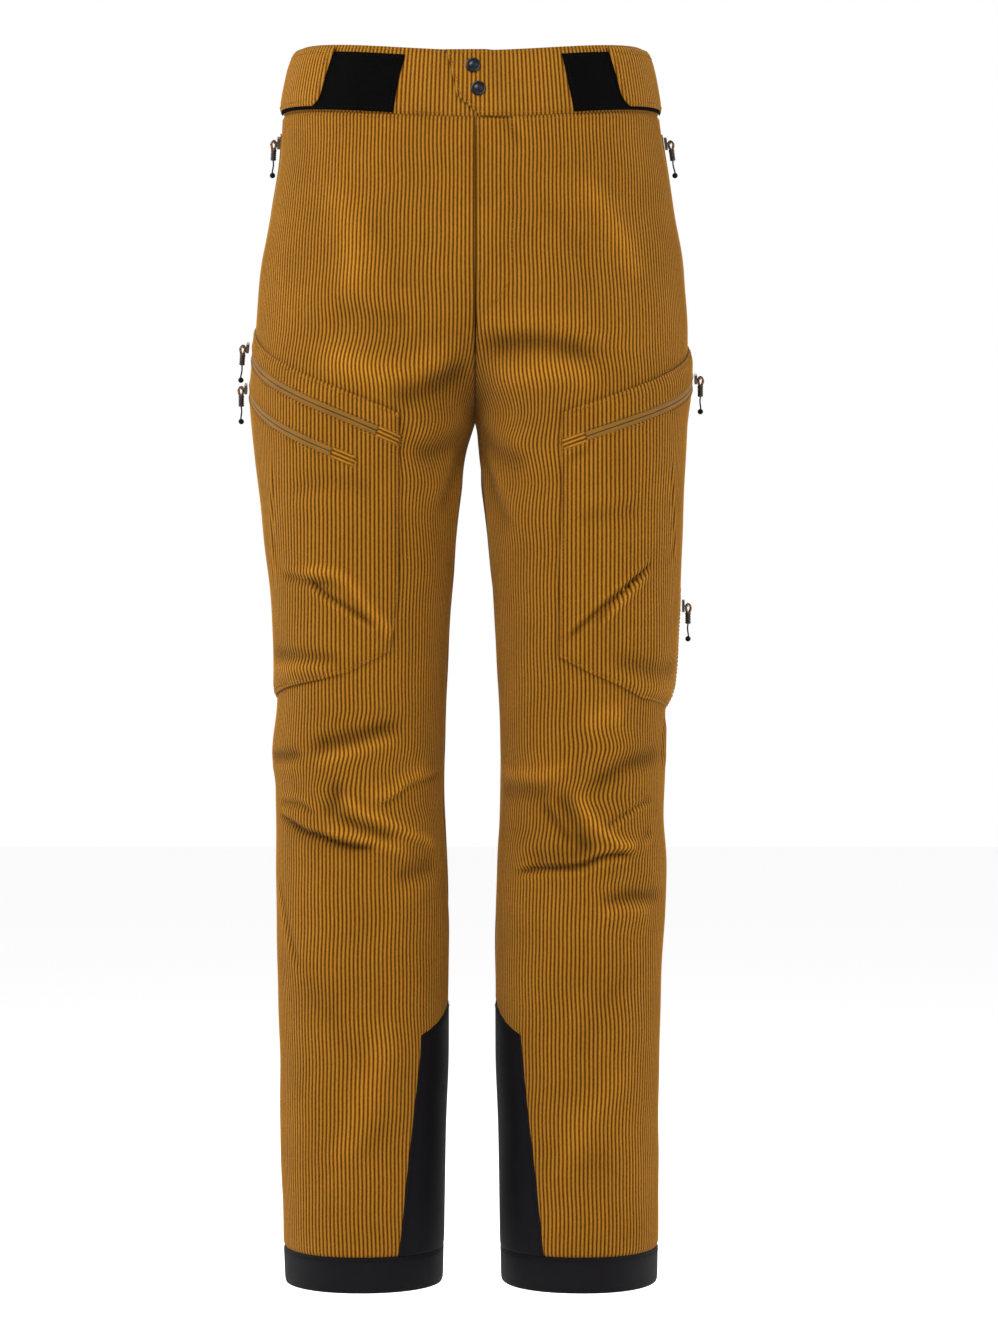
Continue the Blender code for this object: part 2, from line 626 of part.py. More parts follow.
def snap(name, height, parts):
    """A domed cap on the lap of the waistband."""
    point, normal = band_place(LEFT, half_waist(LEFT).front + 0.001, height, LAP_LIFT + SEAM)
    rim = SNAP_HEIGHT * 0.35
    cap = turned("snap_" + name, [
        (0.0, SNAP_HEIGHT), (SNAP_RADIUS * 0.45, SNAP_HEIGHT * 0.95), (SNAP_RADIUS * 0.80, SNAP_HEIGHT * 0.72),
        (SNAP_RADIUS, rim), (SNAP_RADIUS, 0.0), (0.0, 0.0),
    ], 18, METAL, parts)
    cap.matrix_world = Matrix.Translation(point) @ Vector((0, 0, 1)).rotation_difference(normal).to_matrix().to_4x4()


def main():
    clear_scene()
    parts = bpy.data.collections.new("corduroy_touring_trousers")
    bpy.context.scene.collection.children.link(parts)
    for side in (LEFT, RIGHT):
        for facing in (1, -1):
            leg_panel(side, facing, parts)
        waist_closures(side, parts)
        cargo_pocket(side, parts)
        hem_band(side, parts)
        scuff_guard(side, parts)
    waistband_left(parts)
    waistband_right(parts)
    waistband_back(parts)
    for name, height in SNAP_HEIGHTS_UP.items():
        snap(name, height, parts)
    zips(parts)
    for name, spec in ZIPS.items():
        frame, angle = axis_frame(spec)
        slider(name, frame, angle, parts)
        pull(name, frame, parts)


main()
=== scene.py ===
"""Looks of the corduroy touring trousers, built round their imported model.

Metres, +Z up, front towards -Y. The origin is the middle of the waist opening. A place on a leg
is given as in the model: s, the distance round from the outseam (positive to the front), and z,
the height. Paths of creases and stitching are in millimetres.
"""

import logging
import math
from dataclasses import dataclass, field
from enum import Enum
from typing import Callable, Iterable, Sequence

import bpy
import numpy as np
from mathutils import Matrix, Vector


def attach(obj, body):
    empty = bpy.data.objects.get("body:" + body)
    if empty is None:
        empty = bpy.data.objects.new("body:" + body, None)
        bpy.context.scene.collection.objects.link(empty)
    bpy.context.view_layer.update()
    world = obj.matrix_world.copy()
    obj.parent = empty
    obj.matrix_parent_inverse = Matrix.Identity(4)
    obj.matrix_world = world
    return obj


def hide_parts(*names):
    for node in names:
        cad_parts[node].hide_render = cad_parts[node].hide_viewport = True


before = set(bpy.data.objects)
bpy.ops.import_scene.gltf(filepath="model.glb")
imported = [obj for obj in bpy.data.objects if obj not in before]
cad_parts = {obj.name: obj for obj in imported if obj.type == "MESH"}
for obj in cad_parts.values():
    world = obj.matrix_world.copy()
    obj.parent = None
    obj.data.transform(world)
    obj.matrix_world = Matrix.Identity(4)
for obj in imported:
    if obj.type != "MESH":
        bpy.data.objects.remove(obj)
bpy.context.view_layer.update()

Array = np.ndarray
Rgb = tuple[float, float, float]
Path = Sequence[tuple[float, float]]

log = logging.getLogger("trousers")
MM = 0.001


class Named(Enum):
    """A choice whose name stands in the pieces' names."""

    @property
    def word(self) -> str:
        """The name in small letters."""
        return self.name.lower()


class Side(Named):
    """The wearer's side."""

    LEFT = 1
    RIGHT = -1


class Facing(Named):
    """Which half of a leg a panel covers."""

    FRONT = 1
    BACK = -1


# ---------------------------------------------------------------- the form of the trousers


def ease(t: Array) -> Array:
    """A smooth step from 0 to 1."""
    t = np.clip(t, 0.0, 1.0)
    return t * t * (3 - 2 * t)


def along(points: Path, at: Array) -> Array:
    """A smooth curve through points that doesn't swing past them.

    Args:
        points: (place, value) pairs.
        at: The places to read it at.

    Returns:
        The values there.
    """
    places, values = np.array(sorted(points)).T
    at = np.clip(at, places[0], places[-1])
    steps = np.diff(places)
    slopes = np.diff(values) / steps
    left, right = slopes[:-1], slopes[1:]
    same = left * right > 0
    inner = np.where(same, 2 * left * right / np.where(same, left + right, 1.0), 0.0)
    tangents = np.concatenate([slopes[:1], inner, slopes[-1:]])
    i = np.clip(np.searchsorted(places, at) - 1, 0, len(steps) - 1)
    t = (at - places[i]) / steps[i]
    start = (2 * t**3 - 3 * t**2 + 1) * values[i] + (t**3 - 2 * t**2 + t) * steps[i] * tangents[i]
    end = (3 * t**2 - 2 * t**3) * values[i + 1] + (t**3 - t**2) * steps[i] * tangents[i + 1]
    return start + end


def straight(points: Path, at: Array) -> Array:
    """The values at places on straight lines through (place, value) points."""
    places, values = np.array(sorted(points)).T
    return np.interp(at, places, values)


def bell(distance: Array, width: float) -> Array:
    """A bell curve, 1 at no distance, that falls off over a width."""
    return np.exp(-((distance / width) ** 2))


def signed_power(value: Array, power: float) -> Array:
    """A power that keeps the sign."""
    return np.sign(value) * np.abs(value) ** power


@dataclass(frozen=True)
class Sizes:
    """Heights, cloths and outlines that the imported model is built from."""

    crotch: float = -0.318
    hem: float = -1.059
    hem_band: float = 0.030
    waistband: float = 0.056
    rise_curve: float = 0.130
    front_dip: float = 0.016
    back_rise: float = 0.012
    dip_fade: float = -0.200
    seam: float = 0.0001
    cloth: float = 0.0017
    power: float = 2.2
    outer: dict[Side, Path] = field(default_factory=lambda: {
        Side.RIGHT: [(0.020, 0.1440), (0.0, 0.1495), (-0.020, 0.1565), (-0.055, 0.1625), (-0.085, 0.1640),
                     (-0.135, 0.1720), (-0.190, 0.1815), (-0.240, 0.1860), (-0.290, 0.1885), (-0.325, 0.1865),
                     (-0.395, 0.1787), (-0.464, 0.1712), (-0.516, 0.1685), (-0.560, 0.1675), (-0.604, 0.1715),
                     (-0.637, 0.1680), (-0.740, 0.1680), (-0.880, 0.1655), (-1.060, 0.1608)],
        Side.LEFT: [(0.020, 0.1440), (0.0, 0.1490), (-0.020, 0.1548), (-0.055, 0.1608), (-0.085, 0.1650),
                    (-0.135, 0.1740), (-0.190, 0.1835), (-0.240, 0.1865), (-0.290, 0.1865), (-0.325, 0.1835),
                    (-0.395, 0.1797), (-0.464, 0.1760), (-0.516, 0.1735), (-0.545, 0.1705), (-0.566, 0.1660),
                    (-0.604, 0.1660), (-0.655, 0.1652), (-0.700, 0.1675), (-0.775, 0.1645), (-0.880, 0.1615),
                    (-1.060, 0.1600)]})
    centre_x: Path = ((0.020, 0.004), (-0.200, 0.004), (-0.318, 0.0025), (-0.350, 0.0005), (-1.060, 0.0))
    half_gap: Path = ((-0.318, 0.0002), (-0.330, 0.0034), (-0.345, 0.0062), (-0.378, 0.0100),
                      (-0.430, 0.0150), (-0.516, 0.0212), (-0.600, 0.0245), (-0.640, 0.0250),
                      (-0.700, 0.0220), (-0.760, 0.0206), (-0.860, 0.0208), (-0.930, 0.0232), (-1.060, 0.0252))
    front_y: Path = ((0.020, -0.103), (0.0, -0.105), (-0.055, -0.110), (-0.120, -0.116), (-0.190, -0.119),
                     (-0.250, -0.117), (-0.320, -0.107), (-0.420, -0.101), (-0.520, -0.097), (-0.600, -0.095),
                     (-0.650, -0.092), (-0.720, -0.085), (-0.850, -0.079), (-1.060, -0.078))
    back_y: Path = ((0.020, 0.104), (0.0, 0.108), (-0.055, 0.116), (-0.120, 0.132), (-0.190, 0.142),
                    (-0.240, 0.138), (-0.300, 0.119), (-0.360, 0.103), (-0.450, 0.090), (-0.560, 0.078),
                    (-0.640, 0.071), (-0.700, 0.074), (-0.800, 0.083), (-0.900, 0.086), (-1.060, 0.083))
    side_y: Path = ((0.020, 0.0), (-0.190, 0.004), (-0.318, 0.0), (-0.600, -0.008), (-1.060, 0.002))


SIZES = Sizes()


class Form:
    """One half of the filled-out trousers, as a table of level sections read between its rows."""

    ROW = 0.002
    STEP = 0.001
    REACH = 0.380
    ANGLES = 1441

    def __init__(self, side: Side) -> None:
        """Works out the sections.

        Args:
            side: The wearer's side.
        """
        self.side = side
        sign = side.value
        z = np.arange(SIZES.hem - 0.006, 0.022, self.ROW)
        self.heights = z
        middle = along(SIZES.centre_x, z)
        gap = np.where(z < SIZES.crotch, along(SIZES.half_gap, z), SIZES.half_gap[0][1])
        outer = np.abs(sign * along(SIZES.outer[side], z) - middle)
        rise = np.clip((z - SIZES.crotch) / SIZES.rise_curve, 0.0, 1.0)
        legness = (1.0 - rise**1.4) ** 1.5
        half_width = (outer - gap) / (1 + legness)
        side_y = along(SIZES.side_y, z)
        front_depth, back_depth = side_y - along(SIZES.front_y, z), along(SIZES.back_y, z) - side_y
        angles = np.linspace(-np.pi, np.pi, self.ANGLES)
        sweep = 2 / SIZES.power
        reach = half_width[:, None] * (legness[:, None] + signed_power(np.cos(angles), sweep))
        depth = np.where(angles > 0, front_depth[:, None], back_depth[:, None])
        x = middle[:, None] + sign * (gap[:, None] + reach)
        y = side_y[:, None] - depth * signed_power(np.sin(angles), sweep)
        run = np.concatenate([np.zeros((len(z), 1)), np.cumsum(np.hypot(np.diff(x), np.diff(y)), 1)], 1)
        arc = run - run[:, self.ANGLES // 2, None]
        turn = np.arccos(-(legness ** (SIZES.power / 2)))
        self.front = np.array([np.interp(t, angles, row) for t, row in zip(turn, arc)])
        self.back = -np.array([np.interp(-t, angles, row) for t, row in zip(turn, arc)])
        places = np.arange(-self.REACH, self.REACH + self.STEP / 2, self.STEP)
        self.table = np.empty((len(z), len(places), 3))
        for i, height in enumerate(z):
            s = places.copy()
            if height < SIZES.crotch:
                whole = self.front[i] + self.back[i]
                s = np.where(s > self.front[i], s - whole, s)
                s = np.where(s < -self.back[i], s + whole, s)
            self.table[i, :, 0] = np.interp(s, arc[i], x[i])
            self.table[i, :, 1] = np.interp(s, arc[i], y[i])
            self.table[i, :, 2] = height
        down, across = np.gradient(self.table, axis=(0, 1))
        normals = np.cross(down, across) * sign
        self.normals = normals / np.linalg.norm(normals, axis=2, keepdims=True)
        self.grain_lines = {
            Facing.FRONT: self._grain(arc, x, slice(self.ANGLES // 2, None)),
            Facing.BACK: self._grain(arc, x, slice(self.ANGLES // 2, None, -1)),
        }

    def _grain(self, arc: Array, x: Array, half: slice) -> Array:
        """Where the middle wale of a panel runs, at each height of the table."""
        middle_wale = np.interp(self.heights, [-0.300, -0.056], [0.095, 0.089])
        found = []
        for s_row, x_row, at in zip(arc[:, half], self.side.value * x[:, half], middle_wale):
            falling = x_row[: np.argmax(x_row < 0.030) or None]
            found.append(np.interp(at, falling[::-1], s_row[: len(falling)][::-1]))
        return np.array(found)

    def lengths(self, z: Array) -> tuple[Array, Array]:
        """The distance from the outseam to the front and to the back seam at heights z."""
        return np.interp(z, self.heights, self.front), np.interp(z, self.heights, self.back)

    def grain(self, facing: Facing, z: Array) -> Array:
        """s of a panel's middle wale at heights z."""
        return np.interp(z, self.heights, self.grain_lines[facing])

    def at(self, s: Array, z: Array) -> tuple[Array, Array]:
        """Points on the form and their outward directions.

        Args:
            s: Distances round from the outseam.
            z: Heights, of the same shape.

        Returns:
            Two arrays with one more axis, of length 3.
        """
        s, z = np.broadcast_arrays(np.asarray(s, float), np.asarray(z, float))
        row = np.clip((z - self.heights[0]) / self.ROW, 0, len(self.heights) - 1.001)
        place = np.clip((s + self.REACH) / self.STEP, 0, self.table.shape[1] - 1.001)
        i, j = row.astype(int), place.astype(int)
        up, on = (row - i)[..., None], (place - j)[..., None]

        def read(table: Array) -> Array:
            low = table[i, j] * (1 - on) + table[i, j + 1] * on
            high = table[i + 1, j] * (1 - on) + table[i + 1, j + 1] * on
            return low * (1 - up) + high * up

        normals = read(self.normals)
        points = read(self.table)
        points[..., 2] = z
        return points, normals / np.linalg.norm(normals, axis=-1, keepdims=True)

    def waist_shift(self, s: Array) -> Array:
        """How far the waist edge lies above or below its height at the side."""
        front, back = self.lengths(np.array(-SIZES.waistband / 2))
        return np.where(s >= 0, -SIZES.front_dip * ease(s / front), SIZES.back_rise * ease(-s / back))


FORMS = {side: Form(side) for side in Side}


# ---------------------------------------------------------------- creases


def smoothed(path: Path, step: float) -> Array:
    """Points about a step apart on a smooth curve through a path's own points (Catmull-Rom)."""
    points = np.array(path, float)
    if len(points) == 2:
        count = max(2, int(np.hypot(*(points[1] - points[0])) / step) + 1)
        return np.linspace(points[0], points[1], count)
    padded = np.vstack([2 * points[0] - points[1], points, 2 * points[-1] - points[-2]])
    out = []
    for a, b, c, d in zip(padded, padded[1:], padded[2:], padded[3:]):
        count = max(2, int(np.hypot(*(c - b)) / step) + 1)
        t = np.linspace(0, 1, count, endpoint=False)[:, None]
        square, cube = 2 * a - 5 * b + 4 * c - d, 3 * b - a - 3 * c + d
        out.append(0.5 * (2 * b + (c - a) * t + square * t**2 + cube * t**3))
    return np.vstack([*out, points[-1:]])


@dataclass(frozen=True)
class Crease:
    """A soft trough or ridge along a path in (s, z), all in millimetres.

    depth is below zero for a trough. A lip is a ridge beside it: right of the path's direction
    (towards greater s on a rising path) where it is positive, and on both sides if both is set.
    """

    depth: float
    width: float
    path: Path
    lip: float = 0.0
    both: bool = False
    ends: float = 0.25
    # How strongly the crease's painted shade and light show in the colour.
    shade: float = 1.0

    def height(self, s: Array, z: Array) -> tuple[Array, Array]:
        """How far it moves the cloth, and the painted shade (negative) or painted light it puts on the colour.

        Args:
            s: Places round the leg, metres.
            z: Heights, metres.

        Returns:
            Heights in metres and shades of about -1 to 1.
        """
        rise, shade = np.zeros(s.shape), np.zeros(s.shape)
        line = smoothed(self.path, 4.0)
        reach = 4 * self.width
        low, high = line.min(0) - reach, line.max(0) + reach
        near = (s / MM > low[0]) & (s / MM < high[0]) & (z / MM > low[1]) & (z / MM < high[1])
        if not near.any():
            return rise, shade
        here = np.stack([s[near], z[near]], -1) / MM
        starts, runs = line[:-1], np.diff(line, axis=0)
        best = np.full(len(here), 1e9)
        share, offset = np.zeros(len(here)), np.zeros(len(here))
        for i, (start, run) in enumerate(zip(starts, runs)):
            away = here - start
            t = np.clip(away @ run / (run @ run), 0, 1)
            gap = away - t[:, None] * run
            distance = np.hypot(gap[:, 0], gap[:, 1])
            closer = distance < best
            best = np.where(closer, distance, best)
            share = np.where(closer, (i + t) / len(starts), share)
            side = np.sign(run[1] * gap[:, 0] - run[0] * gap[:, 1])
            offset = np.where(closer, side * distance, offset)
        fade = ease(share / self.ends) * ease((1 - share) / self.ends)
        core = self.depth * bell(best, self.width)
        lips = abs(self.lip) * bell(offset * np.sign(self.lip or 1) - 1.9 * self.width, 1.1 * self.width)
        if self.both:
            lips += self.lip * bell(offset * np.sign(self.lip) + 1.9 * self.width, 1.1 * self.width)
        rise[near] = (core + lips) * fade * MM
        # Painted shade in the trough and painted light on the lips, as light falls on the fold.
        shade[near] = self.shade * np.clip((core + lips) / 3.0, -1, 1) * fade
        return rise, shade


def creased(creases: Iterable[Crease], s: Array, z: Array) -> tuple[Array, Array]:
    """The sum of several creases, as Crease.height gives it."""
    rise, shade = np.zeros(s.shape), np.zeros(s.shape)
    for crease in creases:
        more, nap = crease.height(s, z)
        rise += more
        shade += nap
    return rise, shade


def ripple(s: Array, z: Array, phase: float) -> Array:
    """The slight unevenness of hanging cloth, in metres."""
    wave = np.sin(31 * s + 4.0 * np.sin(7 * z + phase) + phase)
    wave += 0.7 * np.sin(17 * z + 23 * s + 1.7 * phase) + 0.5 * np.sin(43 * z - 35 * s + 2.3 * phase)
    wave += 0.35 * np.sin(71 * s + 59 * z + phase) + 0.3 * np.sin(97 * z + 18 * s - phase)
    return 0.00045 * wave


@dataclass(frozen=True)
class Lean:
    """A patch of cloth sheared round the leg, so that its ribs lean above and below it. Millimetres."""

    s: float
    z: float
    wide: float
    high: float
    shift: float

    def at(self, s: Array, z: Array) -> Array:
        """How far the ribs are shifted at places in metres, in metres."""
        across, up = (s / MM - self.s) / self.wide, (z / MM - self.z) / self.high
        return self.shift * MM * np.exp(-across * across - up * up)


def back_creases(side: Side) -> list[Crease]:
    """The folds behind a leg, which differ a little from side to side."""
    turn, drop = side.value, 2.0 * side.value
    return [
        Crease(-4.0, 9, [(-58, -656), (-122, -650 - drop), (-188, -661)], lip=1.4),
        Crease(2.2, 7, [(-60, -640), (-126, -634 + drop), (-190, -645)]),
        Crease(-3.0, 7, [(-98, -686), (-160, -692 + drop), (-205, -685)], lip=1.2),
        Crease(-2.0, 5, [(-60, -628), (-130, -620 - drop), (-196, -632)], lip=0.9),
        Crease(-1.6, 7, [(-70, -722), (-130, -734), (-190, -727 + drop)], lip=0.8),
        Crease(-2.6, 8, [(-285, -330), (-236, -354), (-180, -351 + drop)], lip=1.2),
        Crease(-2.2, 8, [(-290, -342), (-250, -390 + drop), (-206, -422)], lip=1.0),
        Crease(-2.0, 9, [(-235, -268), (-170, -291 - drop), (-104, -286)], lip=0.9),
        Crease(-1.6, 8, [(-280, -352), (-262, -410), (-244, -470 + drop)], lip=0.7),
        Crease(-1.4, 8, [(-60, -945), (-120, -967 + turn), (-170, -962)], lip=0.5),
    ]


LEG_CREASES: dict[Side, list[Crease]] = {
    Side.RIGHT: [
        *back_creases(Side.RIGHT),
        Crease(-3.2, 3.0, [(30, -656), (54, -662), (75, -670), (92, -674), (107, -679), (121, -682),
                           (144, -682)],
               lip=-0.8, ends=0.12, shade=1.2),
        Crease(-1.6, 9, [(40, -662), (92, -676), (140, -684)]),
        Crease(2.8, 5.5, [(88, -668), (114, -671), (132, -676), (146, -680), (161, -685), (172, -694)]),
        Crease(-2.4, 3.0, [(30, -645), (70, -647), (83, -652), (93, -657)], lip=-1.0),
        Crease(2.8, 4.5, [(110, -634), (127, -651), (143, -658), (159, -665), (178, -674),
                          (208, -684)], ends=0.15),
        Crease(-3.0, 4.5, [(103, -652), (123, -663), (139, -669), (160, -678)]),
        Crease(-1.7, 2.2, [(225, -621), (178, -630), (161, -640), (144, -649)], lip=1.0, ends=0.1),
        Crease(1.8, 7, [(125, -641), (158, -634), (179, -623), (210, -616)]),
        Crease(-3.4, 7, [(80, -601), (113, -593), (132, -589), (151, -584), (176, -580)]),
        Crease(2.4, 6, [(90, -613), (117, -605), (133, -600), (152, -595), (174, -592)]),
        Crease(-3.2, 5, [(6, -606), (28, -607), (63, -606), (88, -603)], lip=0.8),
        Crease(-2.6, 7, [(112, -624), (106, -645), (96, -658)]),
        Crease(-2.0, 8, [(148, -710), (159, -707), (179, -702), (204, -696)], lip=0.8),
        Crease(-1.4, 4, [(28, -704), (35, -719), (49, -750), (60, -776), (70, -790)], lip=0.7),
        Crease(2.8, 13, [(120, -262), (166, -283), (201, -288), (226, -277), (260, -261)]),
        Crease(-3.2, 10, [(180, -308), (219, -299), (246, -287), (268, -275)]),
        Crease(-2.0, 9, [(284, -328), (240, -346), (196, -354)], lip=0.9),
        Crease(-1.6, 8, [(284, -335), (252, -372), (222, -408)], lip=0.8),
        Crease(1.4, 8, [(282, -348), (262, -392), (250, -450)]),
        Crease(-1.6, 8, [(215, -242), (176, -240), (130, -232)], lip=0.8, shade=0.5),
        Crease(-1.4, 10, [(150, -150), (176, -180), (196, -226)], shade=0.4),
        Crease(1.6, 12, [(100, -120), (140, -170), (150, -230)]),
        Crease(-1.4, 10, [(60, -790), (96, -830), (130, -880)], shade=0.5),
        Crease(1.2, 12, [(150, -820), (120, -900), (90, -980)]),
        Crease(-1.2, 9, [(150, -905), (120, -944), (70, -964)], shade=0.5),
    ],
    Side.LEFT: [
        *back_creases(Side.LEFT),
        Crease(-3.4, 2.8, [(190, -705), (163, -701), (145, -700), (129, -699), (118, -696), (107, -691),
                           (94, -689),
                           (76, -688)], lip=0.9, both=True, ends=0.12, shade=1.2),
        Crease(-1.8, 9, [(180, -694), (140, -692), (104, -682)]),
        Crease(-1.7, 2.2, [(53, -643), (74, -648), (89, -656), (98, -661), (105, -667)], lip=0.9, ends=0.1),
        Crease(2.8, 4.5, [(132, -632), (123, -651), (113, -664), (99, -675), (85, -681), (68, -680),
                          (52, -672)],
               ends=0.15),
        Crease(-3.2, 7, [(148, -632), (143, -644), (134, -660), (125, -675), (110, -688)]),
        Crease(-2.4, 4.5, [(164, -642), (152, -656), (142, -668), (132, -682)], lip=0.8),
        Crease(2.2, 7, [(246, -621), (186, -622), (162, -622), (145, -617), (128, -611)]),
        Crease(-2.0, 8, [(228, -634), (185, -636), (161, -637), (144, -634)]),
        Crease(-3.0, 8, [(126, -641), (117, -631), (104, -622), (83, -612), (30, -604)]),
        Crease(2.0, 10, [(130, -582), (111, -574), (88, -571)]),
        Crease(-2.8, 6, [(112, -730), (84, -725), (63, -725), (28, -725)]),
        Crease(1.8, 6, [(112, -739), (83, -736), (48, -738)]),
        Crease(-2.2, 4, [(79, -685), (68, -679), (54, -668)]),
        Crease(-2.4, 6, [(8, -566), (22, -588), (26, -622)], lip=1.2),
        Crease(-3.0, 9, [(262, -262), (230, -262), (192, -262), (140, -276)], lip=0.9),
        Crease(2.6, 12, [(258, -286), (220, -288), (176, -286), (140, -300)]),
        Crease(-2.2, 9, [(284, -328), (240, -350), (196, -362)], lip=0.9),
        Crease(-1.8, 8, [(284, -335), (250, -380), (214, -420)], lip=0.8),
        Crease(1.4, 8, [(282, -345), (264, -400), (250, -456)]),
        Crease(-1.4, 10, [(186, -140), (160, -176), (150, -226)], shade=0.4),
        Crease(1.6, 12, [(150, -110), (120, -160), (100, -220)]),
        Crease(-1.4, 4.5, [(194, -62), (193, -80), (188, -100)], lip=0.7),
        Crease(-1.4, 10, [(70, -790), (100, -822), (116, -870)], shade=0.5),
        Crease(1.2, 12, [(60, -860), (110, -910), (140, -970)]),
        Crease(-1.2, 9, [(160, -930), (120, -950), (80, -946)], shade=0.5),
    ],
}
POCKET_CREASES: dict[Side, list[Crease]] = {
    Side.RIGHT: [
        Crease(-2.8, 2.4, [(92, -455), (107, -468), (120, -477), (134, -487),
                           (149, -498)], lip=1.1, ends=0.18,
               shade=1.3),
        Crease(2.4, 4.5, [(88, -449), (112, -451), (124, -455), (134, -466), (142, -480), (153, -493),
                          (160, -505),
                          (158, -516)], ends=0.12),
        Crease(-2.2, 3.6, [(56, -452), (74, -455), (92, -459), (109, -461), (124, -464)], lip=-0.8),
        Crease(-2.4, 6, [(20, -519), (85, -522), (128, -526)]),
        Crease(1.7, 5, [(20, -532), (79, -531), (118, -532)]),
        Crease(-1.0, 2.2, [(76, -340), (67, -378), (57, -408), (49, -439), (42, -476)], lip=0.7, both=True),
        Crease(-1.4, 8, [(80, -384), (130, -376), (172, -388)], lip=0.7, shade=0.5),
        Crease(-1.4, 8, [(-10, -420), (-32, -448), (-40, -490)], lip=0.6),
    ],
    Side.LEFT: [
        Crease(-2.8, 2.4, [(79, -440), (100, -460), (119, -476), (136, -492),
                           (154, -510)], lip=-0.8, ends=0.15,
               shade=1.3),
        Crease(-2.2, 2.6, [(92, -450), (112, -474), (130, -497)], lip=0.9, ends=0.2),
        Crease(2.0, 3.4, [(80, -447), (104, -470), (124, -492)], ends=0.2),
        Crease(-1.6, 8, [(160, -408), (130, -404), (96, -400)], lip=0.8, shade=0.5),
        Crease(-1.8, 8, [(20, -528), (70, -533), (120, -522)], lip=0.9),
        Crease(-1.4, 3.2, [(170, -362), (158, -354), (146, -349)], lip=0.6),
        Crease(-1.0, 2.2, [(70, -346), (60, -384), (50, -420), (40, -462)], lip=0.7, both=True),
        Crease(-1.4, 8, [(-12, -430), (-34, -452), (-42, -500)], lip=0.6),
    ],
}
LEANS: dict[Side, list[Lean]] = {
    Side.RIGHT: [
        Lean(232, -322, 42, 13, 4.5), Lean(228, -350, 40, 10, -4.0), Lean(226, -376, 40, 11, 3.2),
        Lean(224, -406, 40, 14, -2.4), Lean(215, -446, 36, 16, 2.0), Lean(195, -618, 34, 14, -5.0),
        Lean(188, -664, 34, 13, 6.0), Lean(120, -668, 24, 9, 4.0), Lean(104, -634, 24, 11, -4.5),
        Lean(50, -628, 26, 12, 3.0), Lean(120, -604, 34, 9, 3.0), Lean(130, -580, 34, 9, -2.6),
        Lean(150, -250, 44, 18, 3.0), Lean(190, -280, 40, 14, -3.2), Lean(-110, -652, 50, 14, 4.0),
        Lean(-150, -690, 50, 14, -3.5), Lean(-220, -360, 50, 18, 4.0), Lean(150, -860, 40, 40, 2.0),
    ],
    Side.LEFT: [
        Lean(232, -318, 42, 13, -4.0), Lean(228, -346, 40, 11, 3.8), Lean(226, -376, 40, 12, -3.0),
        Lean(222, -410, 40, 15, 2.4), Lean(190, -622, 38, 15, -5.0), Lean(184, -684, 38, 13, 5.5),
        Lean(104, -598, 30, 12, -4.5), Lean(112, -640, 28, 12, 5.0), Lean(92, -682, 28, 9, -5.0),
        Lean(80, -716, 32, 9, 3.0), Lean(70, -744, 32, 10, -2.5), Lean(150, -266, 44, 14, 3.2),
        Lean(190, -296, 40, 14, -3.0), Lean(-110, -656, 50, 14, -4.0), Lean(-150, -694, 50, 14, 3.5),
        Lean(-220, -356, 50, 18, -4.0), Lean(60, -860, 40, 40, -2.0),
    ],
}


def leaning(side: Side, s: Array, z: Array) -> Array:
    """How far the ribs of a leg are shifted at (s, z), with the slight wander of cut cloth, in metres."""
    shift = sum(lean.at(s, z) for lean in LEANS[side])
    return shift + 0.0006 * np.sin(41 * z + 9 * s + side.value) + 0.0003 * np.sin(113 * z - 17 * s)


# ---------------------------------------------------------------- sheets of cloth


def linked(name: str, mesh: bpy.types.Mesh) -> bpy.types.Object:
    """A new object of a mesh, in the scene."""
    obj = bpy.data.objects.new(name, mesh)
    bpy.context.scene.collection.objects.link(obj)
    return obj


def walled(points: Array, normals: Array, outer: Array, inner: Array) -> tuple[Array, Array]:
    """The outer and inner face of a cloth, at heights over the same points."""
    return points + normals * outer[..., None], points + normals * inner[..., None]


def numbered_faces(ids: Array) -> list[list[int]]:
    """The faces between neighbouring rows and columns of vertex numbers.

    Args:
        ids: Vertex numbers by row and column; numbers next to each other may be the same.

    Returns:
        Quads, and triangles where two corners of a cell are the same.
    """
    a, b = ids[:-1, :-1].ravel(), ids[:-1, 1:].ravel()
    d, c = ids[1:, :-1].ravel(), ids[1:, 1:].ravel()
    low, high = a != b, c != d
    faces = np.stack([a, b, c, d], 1)[low & high].tolist()
    faces += np.stack([a, b, c], 1)[low & ~high].tolist()
    faces += np.stack([a, c, d], 1)[~low & high].tolist()
    return faces


